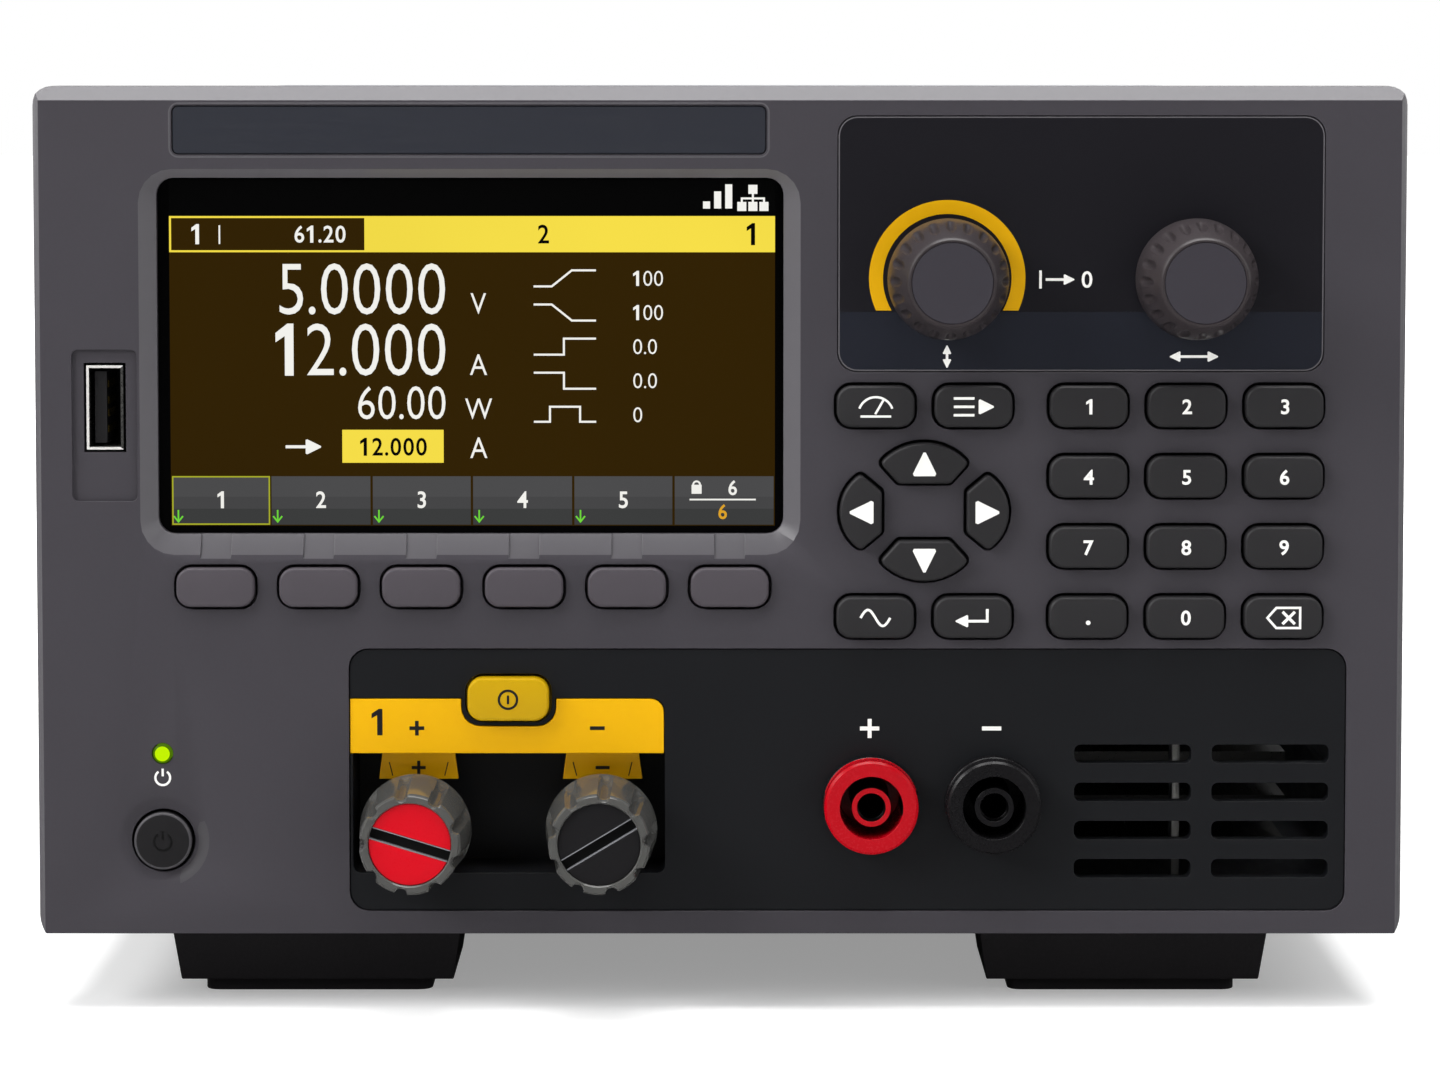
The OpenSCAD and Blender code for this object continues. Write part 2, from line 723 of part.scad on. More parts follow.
// Outline of a rectangle with round corners, about the origin
function pad(w, h, r, steps = 5) = concat(
    arc(w / 2 - r, h / 2 - r, r, 0, 90, steps),
    arc(r - w / 2, h / 2 - r, r, 90, 180, steps),
    arc(r - w / 2, r - h / 2, r, 180, 270, steps),
    arc(w / 2 - r, r - h / 2, r, 270, 360, steps)
);

// Outline of a folded cover: square below, round along its two top edges
function hood(w, low, high, r) = concat(
    [[-w / 2, low], [w / 2, low]],
    arc(w / 2 - r, high - r, r, 0, 90, 6),
    arc(r - w / 2, high - r, r, 90, 180, 6)
);

// An outline in X and Z, run from one depth to another
module slab(front, back) {
    translate([0, face_y + back, 0])
        rotate([90, 0, 0])
            linear_extrude(back - front)
                children();
}

// A profile of radius and forward reach, turned about an axis through the panel
module turned(x, z) {
    translate([x, face_y, z])
        rotate([90, 0, 0])
            rotate_extrude()
                children();
}

// A section in Y and Z, run across from one X to another, with Y counted from the bezel's face
module across(left, right) {
    translate([left, face_y, 0])
        rotate([90, 0, 90])
            linear_extrude(right - left)
                children();
}

// A plan in X and Y, run up from one level to another, with Y counted from the bezel's face
module upright(low, high) {
    translate([0, face_y, low])
        linear_extrude(high - low)
            children();
}

// Arrow key with its arched edge outwards, its tips at mid height and a short inner edge
module arrow_shape(w, h, root) {
    r = (w * w + h * h) / (4 * h);
    half = asin(w / 2 / r);
    offset(r = arrow_r, $fn = 24)
        offset(delta = -arrow_r)
            polygon(concat(
                arc(0, h / 2 - r, r, 90 - half, 90 + half, 10),
                [[-root / 2, -h / 2], [root / 2, -h / 2]]
            ));
}

module key_outline(kind) {
    if (kind == "soft") polygon(pad(softkey_w, softkey_h, key_r));
    if (kind == "pad") polygon(pad(key_w, key_h, key_r));
    if (kind == "load") polygon(pad(load_w, load_h, key_r));
    if (kind == "power") circle(power_r);
    if (kind == "up") arrow_shape(arrow_w, arrow_h, arrow_root);
    if (kind == "down") rotate(180) arrow_shape(arrow_w, arrow_h, arrow_root);
    if (kind == "left") rotate(90) arrow_shape(side_arrow_w, side_arrow_h, side_arrow_root);
    if (kind == "right") rotate(-90) arrow_shape(side_arrow_w, side_arrow_h, side_arrow_root);
}

function proud(kind) = kind == "soft" ? softkey_proud : kind == "power" ? power_proud : key_proud;
function tint(kind) = kind == "soft" ? "#57545a" : kind == "load" ? "#d8b010" : "#2f2e30";

// A key: its bevelled cap, the flange that stops it behind its opening and the stem on the switch
module push_key(k) {
    top = -proud(k[3]);
    bevel = min(key_chamfer, proud(k[3]) / 2);
    color(tint(k[3])) {
        hull() {
            slab(top + bevel, flange_d) translate([k[1], k[2]]) key_outline(k[3]);
            slab(top, flange_d) translate([k[1], k[2]]) offset(delta = -bevel) key_outline(k[3]);
        }
        slab(flange_d, flange_d + flange_t)
            translate([k[1], k[2]])
                offset(delta = key_gap + flange_lap)
                    key_outline(k[3]);
        slab(flange_d + flange_t, stem_end) translate([k[1], k[2]]) circle(key_stem_r);
    }
}

// Openings for the keys of one list, through the wall between two depths
module key_openings(keys, front, back) {
    for (k = keys)
        slab(front, back) translate([k[1], k[2]]) offset(delta = key_gap) key_outline(k[3]);
}

// Solid front of the bezel: its outline, cut back by the bevels along its edges
module bezel_block() {
    run = bezel_depth / bevel_depth;
    low_run = bezel_z0 + low_bevel - low_bevel * run;
    high_run = bezel_z1 - top_bevel + top_bevel * run;
    half = bezel_w / 2 - side_bevel;
    intersection() {
        slab(0, bezel_depth) translate([0, bezel_mid]) polygon(pad(bezel_w, bezel_h, bezel_corner));
        across(-bezel_w, bezel_w)
            polygon([
                [0, bezel_z0 + low_bevel],
                [bezel_depth, low_run],
                [bezel_depth, high_run],
                [0, bezel_z1 - top_bevel],
            ]);
        upright(0, 2 * bezel_z1)
            polygon([
                [-half, 0],
                [half, 0],
                [half + side_bevel * run, bezel_depth],
                [-half - side_bevel * run, bezel_depth],
            ]);
    }
}

// Ring inside the skirt that the cover slides over
module bezel_lip() {
    slab(bezel_depth - lip_root, bezel_depth + lip_len)
        translate([0, bezel_mid])
            difference() {
                polygon(pad(bezel_w - 2 * lip_out, bezel_h - 2 * lip_out, 1.6));
                polygon(pad(bezel_w - 2 * lip_in, bezel_h - 2 * lip_in, 1));
            }
}

// Window opening, its sloping frame and the channels that lead to the soft keys
module display_opening() {
    frame_w = window_w + 2 * frame_side;
    frame_h = window_h + frame_low + frame_top;
    slope = atan(frame_low / frame_depth);
    edge_z = window_z - window_h / 2;
    slab(-1, bezel_wall + 1) translate([window_x, window_z]) polygon(pad(window_w, window_h, window_r));
    hull() {
        slab(-0.01, 0)
            translate([window_x, window_z + (frame_top - frame_low) / 2])
                polygon(pad(frame_w, frame_h, window_r + frame_side));
        slab(frame_depth - 0.01, frame_depth)
            translate([window_x, window_z])
                polygon(pad(window_w, window_h, window_r));
    }
    for (i = [0:5])
        translate([softkey_x + (i - 2.5) * softkey_pitch, face_y + frame_depth, edge_z])
            rotate([slope - 90, 0, 0])
                translate([-channel_w / 2, -channel_depth, -frame_low - 2])
                    cube([channel_w, 2 * channel_depth, frame_low + 2 + channel_depth]);
}

module front_bezel() {
    bezel_keys = [for (k = KEYS) if (k[3] != "load") k];
    color("#48454a")
    difference() {
        union() {
            difference() {
                bezel_block();
                slab(bezel_wall, bezel_depth + 1)
                    translate([0, bezel_mid])
                        polygon(pad(bezel_w - 2 * skirt_t, bezel_h - 2 * skirt_t, 1.4));
            }
            bezel_lip();
            for (p = board_posts)
                slab(bezel_wall - 0.5, board_d) translate(p) circle(board_post_r);
        }
        for (p = board_posts)
            slab(bezel_wall, board_d + 1) translate(p) circle(hole_r);
        display_opening();
        key_openings(bezel_keys, -1, bezel_wall + 1);
        slab(-1, recess) translate([window_x, plate_z]) polygon(pad(plate_w, plate_h, 1));
        slab(-1, recess)
            translate([usb_x, usb_z - usb_offset])
                polygon(pad(usb_recess_w, usb_recess_h, 1));
        slab(-1, bezel_wall + 1)
            translate([usb_x, usb_z])
                square([usb_w + 2 * usb_gap, usb_h + 2 * usb_gap], center = true);
        slab(-1, recess)
            translate([overlay_x, overlay_z])
                polygon(pad(overlay_w + 2 * fit_gap, overlay_h + 2 * fit_gap, overlay_r));
        for (i = [0, 1])
            slab(-1, bezel_wall + 1)
                translate([knob_x + i * knob_pitch, knob_z])
                    circle(bush_r + fit_gap);
        slab(-1, bezel_wall + 1)
            translate([panel_x, panel_mid])
                polygon(pad(panel_w + 2 * fit_gap, panel_h + 2 * fit_gap, overlay_r));
        slab(-1, bezel_wall + 1) translate([power_x, light_z]) circle(light_r + fit_gap);
        turned(power_x, power_z)
            polygon([
                [0, -dish_depth],
                [power_r + dish_floor, -dish_depth],
                [dish_r, 0],
                [dish_r, 1],
                [0, 1],
            ]);
    }
}

module display_window() {
    color("#3a3320", 0.6)
    slab(bezel_wall, bezel_wall + lens_t)
        translate([window_x, window_z])
            polygon(pad(window_w + 2 * lens_lap, window_h + 2 * lens_lap, window_r));
}

module lcd_module() {
    color("#1c1a16")
    slab(bezel_wall + lens_t, board_d)
        translate([window_x, window_z + lcd_rise])
            square([lcd_w, lcd_h], center = true);
}

module power_light() {
    color("#b6f000")
    turned(power_x, light_z)
        polygon(concat(
            [[0, -board_d], [light_r, -board_d], [light_r, -bezel_wall - 1]],
            [[light_r + light_flange, -bezel_wall - 1], [light_r + light_flange, -bezel_wall]],
            [[light_r, -bezel_wall]],
            [for (i = [0:5]) [light_r * cos(18 * i), light_proud * sin(18 * i)]]
        ));
}

// USB socket standing on its side: shell, tongue and the flange that rests on the back of the board
module usb_port() {
    inner = [usb_w - 2 * usb_sheet, usb_h - 2 * usb_sheet];
    tongue = 1.84;
    color("#b9bcc0") {
        difference() {
            slab(usb_front, usb_back)
                translate([usb_x, usb_z])
                    square([usb_w, usb_h], center = true);
            slab(usb_front - 1, usb_back - 1.2)
                translate([usb_x, usb_z])
                    square(inner, center = true);
        }
        slab(usb_front + 1, usb_back)
            translate([usb_x - 0.75 - tongue / 2, usb_z - inner[1] / 2 + 0.6])
                square([tongue, inner[1] - 1.2]);
        slab(board_back, board_back + 1.3)
            translate([usb_x, usb_z])
                difference() {
                    square([usb_w + 2 * usb_tab, usb_h + 2 * usb_tab], center = true);
                    square([usb_w - 0.2, usb_h - 0.2], center = true);
                }
    }
}

module knob_overlay() {
    color("#1b1b21")
    slab(recess - overlay_t, recess)
        difference() {
            translate([overlay_x, overlay_z]) polygon(pad(overlay_w, overlay_h, overlay_r));
            for (i = [0, 1])
                translate([knob_x + i * knob_pitch, knob_z]) circle(bush_r + fit_gap);
        }
}

// Round bar with one flat, on the axis of a knob
module d_section(r, flat) {
    intersection() {
        circle(r);
        translate([-2 * r, -2 * r]) square([4 * r, 2 * r + flat]);
    }
}

// A knob: waisted grip with dimples round its flank, and the stem that drives the rotor
module encoder_knob(x) {
    shoulder = knob_tip - 0.7;
    skirt = knob_lift + 2;
    belly = 0.5;
    rim_r = knob_face_r + 0.5;
    bore = bush_r + 0.5;
    grip = shoulder - skirt;
    dimple_x = (knob_r + rim_r) / 2 + belly + dimple_r - dimple_depth;
    lean = atan((knob_r - rim_r) / grip);
    flank = [
        for (i = [0:6]) let (t = i / 6)
            [knob_r + (rim_r - knob_r) * t + belly * sin(180 * t), skirt + grip * t]
    ];
    color("#3c3a40") {
        difference() {
            turned(x, knob_z)
                polygon(concat(
                    [[0, knob_bore_top], [bore, knob_bore_top], [bore, knob_lift], [knob_r, knob_lift]],
                    flank,
                    [[knob_face_r, knob_tip], [0, knob_tip]]
                ));
            for (i = [0:dimples - 1])
                translate([x, face_y, knob_z])
                    rotate([0, 360 / dimples * i, 0])
                        translate([dimple_x, -(skirt + shoulder) / 2, 0])
                            rotate([90, 0, -lean])
                                cylinder(r = dimple_r, h = 0.72 * grip, center = true, $fn = 24);
        }
        slab(-knob_bore_top - 0.5, knob_stem_end)
            translate([x, knob_z])
                d_section(stem_r, stem_flat);
    }
}

// Disc in the encoder that the knob's stem turns
module encoder_rotor(x) {
    color("#c9c6bd")
    slab(rotor_front, rotor_back)
        translate([x, knob_z])
            difference() {
                circle(rotor_r);
                d_section(stem_r + running, stem_flat + running);
            }
}

// Housings of the two encoders, each with its cavity and its bushing
module encoder_bodies() {
    color("#8d9094")
    for (i = [0, 1])
        translate([knob_x + i * knob_pitch, 0, knob_z])
            difference() {
                union() {
                    slab(encoder_front, board_d) square(encoder_w, center = true);
                    slab(-bush_reach, encoder_front + 0.5) circle(bush_r);
                }
                slab(encoder_front + encoder_wall, board_d - encoder_wall)
                    circle(rotor_r + 4 * running);
                slab(-bush_reach - 1, encoder_front + encoder_wall + 0.1)
                    circle(stem_r + running);
            }
}

// Moulded terminal panel: face, flange behind the bezel, pocket with two bosses, air slots and holes
module terminal_panel() {
    load_keys = [for (k = KEYS) if (k[3] == "load") k];
    notch_w = load_w + 2 * key_gap + 2 * band_notch;
    notch_h = load_h + 2 * key_gap + 2 * band_notch;
    tub_w = pocket_w + 2 * pocket_wall;
    tub_h = pocket_h + 2 * pocket_wall;
    lap_w = panel_w + 2 * panel_lap;
    lap_h = panel_h + 2 * panel_lap;
    rib = 2;
    pocket_mid = (pocket_z0 + pocket_z1) / 2;
    color("#1f1e23")
    difference() {
        union() {
            difference() {
                union() {
                    slab(panel_sink, bezel_wall)
                        translate([panel_x, panel_mid])
                            polygon(pad(panel_w, panel_h, overlay_r));
                    slab(bezel_wall, bezel_wall + panel_flange)
                        difference() {
                            translate([panel_x, panel_mid])
                                polygon(pad(lap_w, lap_h, overlay_r + panel_lap));
                            translate([panel_x, panel_mid])
                                square([panel_w - 2 * rib, panel_h - 2 * rib], center = true);
                        }
                    slab(bezel_wall, pocket_back)
                        translate([pocket_x, pocket_mid])
                            square([tub_w, tub_h], center = true);
                }
                slab(-1, pocket_d)
                    intersection() {
                        translate([pocket_x, pocket_mid]) square([pocket_w, pocket_h], center = true);
                        translate([pocket_x, pocket_z1]) polygon(pad(pocket_w, 2 * pocket_h, pocket_r));
                    }
            }
            for (side = [-1, 1])
                slab(post_seat, pocket_d + 0.5) translate([post_x(side), post_z]) circle(boss_r);
        }
        for (side = [-1, 1])
            slab(post_seat - 1, pocket_back + 1)
                translate([post_x(side), post_z])
                    circle(stud_r + running);
        for (side = [-1, 1])
            slab(-1, bezel_wall + 1)
                translate([jack_at(side), jack_z])
                    circle(barrel_r + fit_gap);
        slab(-1, panel_sink + band_t)
            difference() {
                for (left = [0, 1]) translate([-left, 0]) band_outline(0, 1);
                translate([pocket_x, load_z]) polygon(pad(notch_w, notch_h, key_r + band_notch));
            }
        key_openings(load_keys, -1, bezel_wall + 1);
        for (column = [-0.5, 0.5], row = [0:3])
            slab(-1, bezel_wall + 1)
                translate([slot_x + column * slot_column, slot_z0 + row * slot_row])
                    polygon(pad(slot_w, slot_h, slot_h / 3, 4));
    }
}

// Outline of the band, with its free upper corner rounded
module band_outline(play, below) {
    w = band_w - play;
    h = band_h + below - play;
    translate([panel_x0, pocket_z1 - below])
        intersection() {
            square([w, h]);
            polygon(pad(2 * w, 2 * h, band_r));
        }
}

// Yellow band above the pocket, turned back along its ceiling to a tongue behind each post
module input_band() {
    notch_w = load_w + 2 * key_gap + 2 * band_notch + 2 * fit_gap;
    notch_h = load_h + 2 * key_gap + 2 * band_notch + 2 * fit_gap;
    notch_r = key_r + band_notch + fit_gap;
    low_w = tongue_w + tongue_flare;
    color("#eab600") {
        slab(panel_sink, panel_sink + band_t)
            difference() {
                band_outline(fit_gap, band_t);
                translate([pocket_x, load_z])
                    polygon(pad(notch_w, notch_h, notch_r));
            }
        slab(panel_sink, tongue_d + band_t)
            translate([pocket_x0 + fit_gap, pocket_z1 - band_t])
                square([pocket_w - 2 * fit_gap, band_t]);
        for (side = [-1, 1])
            slab(tongue_d, tongue_d + band_t)
                translate([post_x(side), pocket_z1 - tongue_h])
                    polygon([
                        [-low_w / 2, 0],
                        [low_w / 2, 0],
                        [tongue_w / 2, tongue_h],
                        [-tongue_w / 2, tongue_h],
                    ]);
    }
}

// A screw-down cap: tapered head with grip grooves, slotted disc in its face and a neck behind
module post_cap(side, slot_angle, shade) {
    rim_t = 0.5;
    groove_x = (cap_r + cap_front_r) / 2 + scallop_r - scallop_depth;
    color(shade)
    difference() {
        turned(post_x(side), post_z)
            polygon([
                [stud_r + running, seat_gap - collar_front],
                [neck_r, seat_gap - collar_front],
                [neck_r, cap_lift],
                [cap_r - rim_t, cap_lift],
                [cap_r, cap_lift + rim_t],
                [cap_front_r, cap_tip - rim_t],
                [cap_front_r - rim_t, cap_tip],
                [disc_r, cap_tip],
                [disc_r, cap_tip - disc_sink],
                [0, cap_tip - disc_sink],
                [0, stud_reach + cap_floor],
                [stud_r + running, stud_reach + cap_floor],
            ]);
        translate([post_x(side), face_y - cap_tip, post_z])
            rotate([0, slot_angle, 0])
                cube([2 * disc_r - 0.2, 2 * (disc_sink + driver_depth), driver_w], center = true);
        for (i = [0:lobes - 1])
            translate([post_x(side), face_y, post_z])
                rotate([0, 360 / lobes * (i + 0.4), 0])
                    translate([groove_x, -(cap_lift + cap_tip) / 2, 0])
                        rotate([90, 0, -cap_draft])
                            translate([0, 0, groove_from - cap_len / 2])
                                cylinder(r = scallop_r, h = cap_len, $fn = 24);
    }
}

// Washer under a cap that clamps the wire and doesn't turn
module post_collar(side) {
    color("#c8b98a")
    slab(collar_front, collar_front + collar_t)
        translate([post_x(side), post_z])
            difference() {
                circle(collar_r);
                circle(stud_r + running);
            }
}

// Threaded studs with a hexagonal shoulder behind the pocket, and the nuts that hold the copper bars
module post_studs() {
    color("#c9b06a")
    for (side = [-1, 1])
        translate([post_x(side), 0, post_z]) {
            slab(-stud_reach, stud_d) circle(stud_r);
            slab(pocket_back, bar_d) circle(d = hex_w, $fn = 6);
            slab(nut_d, nut_d + nut_t)
                difference() {
                    circle(d = hex_w, $fn = 6);
                    circle(stud_r + fit_gap);
                }
        }
}

// A sense jack: shrouded 4 mm socket in an insulating body, with the nut behind the panel
module sense_jack(side, shade) {
    lip = 0.4;
    tip = jack_reach - contact_sink;
    groove = 1 - barrel_d + bore_len / 2;
    color(shade) {
        turned(jack_at(side), jack_z)
            polygon([
                [0, -barrel_d - pin_len],
                [pin_r, -barrel_d - pin_len],
                [pin_r, -barrel_d],
                [barrel_r, -barrel_d],
                [barrel_r, -panel_sink],
                [jack_r, -panel_sink],
                [jack_r, jack_reach / 3],
                [jack_r - lip / 2, jack_reach / 3 + lip / 2],
                [jack_r - lip / 2, jack_reach - lip],
                [jack_r - 3 * lip / 2, jack_reach],
                [shroud_r, jack_reach],
                [shroud_r, groove],
                [contact_r, groove],
                [contact_r, tip],
                [bore_r + 0.2, tip],
                [bore_r + 0.2, tip - lead_in],
                [bore_r, tip - lead_in],
                [bore_r, tip - lead_in - bore_len],
                [0, tip - lead_in - bore_len],
            ]);
        slab(bezel_wall, bezel_wall + jack_nut_t)
            translate([jack_at(side), jack_z])
                difference() {
                    circle(d = jack_nut_w, $fn = 6);
                    circle(barrel_r + fit_gap);
                }
    }
}

// Sheet-metal tray: floor, side flanges, rear tabs, standoffs and the pillar behind the air slots
module chassis() {
    pillar_x = slot_x - slot_column / 2 + slot_w / 2;
    color("#9a9da0")
    difference() {
        union() {
            upright(shell_z0, tray_top)
                translate([-inner_w / 2, bezel_depth])
                    square([inner_w, body_d - bezel_depth]);
            for (x = [-inner_w / 2, flange_x])
                upright(shell_z0, tray_top + tray_flange)
                    translate([x, tray_start])
                        square([sheet, rear_in - tray_start]);
            for (x = tabs)
                upright(shell_z0, tray_top + tab_h + 1)
                    translate([x - tab_w / 2, rear_in - sheet])
                        square([tab_w, sheet]);
            for (p = standoffs)
                upright(tray_top - 0.2, main_z) translate(p) circle(standoff_r);
            upright(tray_top - 0.2, slot_z0 + 4 * slot_row)
                translate([pillar_x, tray_start + 8.6])
                    circle(0.9, $fn = 24);
        }
        for (p = standoffs)
            upright(tray_top + 1, main_z + 1) translate(p) circle(hole_r);
        for (x = tabs)
            slab(rear_in - sheet - 1, rear_in + 1) translate([x, tab_z]) circle(hole_r);
        for (y = cover_screws)
            across(-bezel_w, bezel_w) translate([y, cover_screw_z]) circle(hole_r);
        for (side = [-1, 1], y = [front_foot, rear_foot])
            upright(shell_z0 - 1, tray_top + 1) translate([side * foot_x, y]) circle(hole_r);
    }
}

// Folded cover that slides over the bezel's lip, with air slots down both sides
module cover() {
    inner = shell_w - 2 * sheet;
    vent_w = 3.2;
    vent_h = 42;
    vents = 14;
    vent_pitch = 7.5;
    color("#8b8c90")
    difference() {
        slab(bezel_depth, body_d)
            difference() {
                polygon(hood(shell_w, shell_z0, bezel_z1 - cover_inset, cover_bend));
                polygon(hood(inner, shell_z0 - 1, roof_z, cover_bend - sheet));
            }
        for (i = [0:vents - 1])
            across(-bezel_w, bezel_w)
                translate([tray_start + 40 + i * vent_pitch, tray_top + tray_flange + 12 + vent_h / 2])
                    polygon(pad(vent_w, vent_h, vent_w / 2 - 0.1, 3));
        for (y = cover_screws)
            across(-bezel_w, bezel_w) translate([y, cover_screw_z]) circle(hole_r);
    }
}

// Ring slots of the fan grille, broken by four diagonal spokes
module grille() {
    spoke = 4;
    rings = floor((fan_bore - 6) / grille_pitch);
    difference() {
        for (i = [1:rings])
            difference() {
                circle(6 + i * grille_pitch);
                circle(6 + i * grille_pitch - grille_slot);
            }
        for (a = [45, 135])
            rotate(a) square([2 * fan_w, spoke], center = true);
    }
}

module rear_panel() {
    color("#8b8c90")
    slab(rear_in, body_d)
        difference() {
            polygon(hood(inner_w, tray_top, roof_z - fit_gap, cover_bend - sheet));
            translate([fan_x, fan_z]) grille();
            for (x = [-1, 1], z = [-1, 1])
                translate([fan_x + x * fan_screw, fan_z + z * fan_screw]) circle(hole_r);
            translate([inlet_x, inlet_z])
                square([inlet_w + 2 * fit_gap, inlet_h + 2 * fit_gap], center = true);
            for (s = SOCKETS)
                translate([s[0] - s[1] / 2 - fit_gap, main_top - fit_gap])
                    square([s[1] + 2 * fit_gap, s[2] + 2 * fit_gap]);
            for (x = tabs)
                translate([x, tab_z]) circle(hole_r);
        }
}

// Sockets on the main board's rear edge: place across, width, height and length
SOCKETS = [
    [lan_in - inner_w / 2, 16, 13.5, 21],
    [usb_b_in - inner_w / 2, 12, 11, 16.5],
    [terminals_in - inner_w / 2, 21, 11, 13],
];

// Mains inlet, network socket, USB socket and control terminals
module rear_connectors() {
    out = body_d + socket_proud;
    pin = [[-7, -2], [0, 2], [7, -2]];
    lan = SOCKETS[0];
    usb = SOCKETS[1];
    block = SOCKETS[2];
    terminal_pitch = 5;
    color("#2a2a2d") {
        translate([inlet_x, 0, inlet_z]) {
            difference() {
                union() {
                    slab(body_d - inlet_len, body_d + 0.5) square([inlet_w, inlet_h], center = true);
                    slab(body_d, body_d + inlet_flange)
                        polygon(pad(inlet_w + 2 * inlet_lap, inlet_h + 2 * inlet_lap, 2));
                }
                slab(body_d - inlet_len + 3, body_d + inlet_flange + 1)
                    difference() {
                        square([inlet_w - 3, inlet_h - 3.4], center = true);
                        for (p = pin)
                            translate(p) square([2, 4], center = true);
                    }
                slab(body_d + inlet_flange - 3, body_d + inlet_flange + 1)
                    square([inlet_w - 3, inlet_h - 3.4], center = true);
            }
        }
        translate([lan[0], 0, main_top + lan[2] / 2])
            difference() {
                slab(out - lan[3], out) square([lan[1], lan[2]], center = true);
                slab(out - 14, out + 1) square([11.8, 8.2], center = true);
                slab(out - 9, out + 1) translate([0, 4.5]) square([6, 3], center = true);
            }
        translate([usb[0], 0, main_top + usb[2] / 2])
            difference() {
                slab(out - usb[3], out) square([usb[1], usb[2]], center = true);
                slab(out - 9, out + 1)
                    difference() {
                        square([8.6, 7.8], center = true);
                        square([5.6, 3.2], center = true);
                    }
            }
        translate([block[0], 0, main_top + block[2] / 2])
            difference() {
                slab(out - block[3], out) square([block[1], block[2]], center = true);
                for (i = [-1.5:1.5])
                    slab(out - 8, out + 1)
                        translate([i * terminal_pitch, -1.5])
                            square([3.2, 3.6], center = true);
            }
    }
}

// One foot: sides that draw in, and a narrower sole
module foot_block() {
    top = shell_z0;
    low_w = foot_w - 2 * foot_draft;
    low_len = foot_len - 2 * foot_draft;
    intersection() {
        across(-foot_w, foot_w)
            polygon([
                [-low_len / 2, sole_h],
                [low_len / 2, sole_h],
                [foot_len / 2, top],
                [-foot_len / 2, top],
            ]);
        slab(-foot_len, foot_len)
            polygon([[-low_w / 2, sole_h], [low_w / 2, sole_h], [foot_w / 2, top], [-foot_w / 2, top]]);
    }
    upright(0, sole_h + 0.5) polygon(pad(sole_w, sole_len, 2));
}

module feet() {
    color("#141316")
    for (side = [-1, 1], y = [front_foot, rear_foot])
        translate([side * foot_x, y, 0])
            difference() {
                foot_block();
                upright(-1, foot_seat) circle(head_r + 0.6);
                upright(-1, shell_z0 + 1) circle(hole_r);
            }
}

// A screw standing on its shank, its head above the level where it seats
module screw(length) {
    rotate_extrude()
        polygon([
            [0, -length],
            [screw_r, -length],
            [screw_r, 0],
            [head_r, 0],
            [head_r, head_h / 2],
            [head_r * 0.7, head_h],
            [0, head_h],
        ]);
}

// Every screw: cover, rear panel, fan, feet, front board and main board
module screws() {
    color("#a9acb0") {
        for (side = [-1, 1], y = cover_screws)
            translate([side * shell_w / 2, face_y + y, cover_screw_z])
                rotate([0, 90 * side, 0])
                    screw(5);
        for (x = tabs)
            translate([x, face_y + body_d, tab_z]) rotate([-90, 0, 0]) screw(5);
        for (x = [-1, 1], z = [-1, 1])
            translate([fan_x + x * fan_screw, face_y + body_d, fan_z + z * fan_screw])
                rotate([-90, 0, 0])
                    screw(12);
        for (side = [-1, 1], y = [front_foot, rear_foot])
            translate([side * foot_x, face_y + y, foot_seat])
                rotate([180, 0, 0])
                    screw(tray_top + 2 - foot_seat);
        for (p = board_posts)
            translate([p[0], face_y + board_back, p[1]]) rotate([-90, 0, 0]) screw(5);
        for (p = standoffs)
            translate([p[0], face_y + p[1], main_top]) screw(5);
    }
}

// Fan frame with its struts, motor plate and bearing tube
module fan_frame() {
    strut_w = 3.5;
    strut_t = 4;
    tube_front = fan_front + 6;
    color("#1b1b1d")
    translate([fan_x, 0, fan_z])
        difference() {
            union() {
                slab(fan_front, rear_in)
                    difference() {
                        polygon(pad(fan_w, fan_w, 4));
                        circle(fan_bore);
                    }
                slab(rear_in - strut_t, rear_in) {
                    circle(hub_r);
                    for (a = [0, 90])
                        rotate(a) square([2 * fan_bore + fan_wall, strut_w], center = true);
                }
                slab(tube_front, rear_in) circle(bearing_r);
            }
            slab(tube_front - 1, rear_in - 1.5) circle(shaft_r + running);
            for (x = [-1, 1], z = [-1, 1])
                slab(fan_front - 1, rear_in + 1)
                    translate([x * fan_screw, z * fan_screw])
                        circle(screw_r + 2 * screw_gap);
        }
}

// Fan rotor: cup on its shaft, with tilted blades round it
module fan_rotor() {
    cup_front = fan_front + 2;
    cup_back = rear_in - 6;
    tip = fan_bore - blade_gap;
    blade_front = fan_front + 3;
    blade_back = rear_in - 6.5;
    color("#1b1b1d")
    translate([fan_x, 0, fan_z]) {
        difference() {
            slab(cup_front, cup_back) circle(hub_r);
            slab(cup_front + 3, cup_back + 1) circle(bearing_r + 1);
        }
        slab(cup_front + 1, rear_in - 3) circle(shaft_r);
        intersection() {
            slab(blade_front, blade_back)
                difference() {
                    circle(tip);
                    circle(hub_r - 0.5);
                }
            for (i = [0:blades - 1])
                translate([0, face_y + (blade_front + blade_back) / 2, 0])
                    rotate([0, 360 / blades * i, 0])
                        translate([0, 0, hub_r - 1])
                            rotate([0, 0, 90 - blade_tilt])
                                translate([-blade_t / 2, -fan_t, 0])
                                    cube([blade_t, 2 * fan_t, fan_w]);
        }
    }
}

// Extruded heatsink: upright base with fins towards the right wall
module heatsink() {
    fin_pitch = (sink_h - fin_t) / (fins - 1);
    color("#b4b7ba")
    slab(sink_front, sink_back)
        translate([sink_x, tray_top]) {
            square([sink_base, sink_h]);
            for (i = [0:fins - 1])
                translate([sink_base - 0.5, i * fin_pitch]) square([fin_w + 0.5, fin_t]);
        }
}

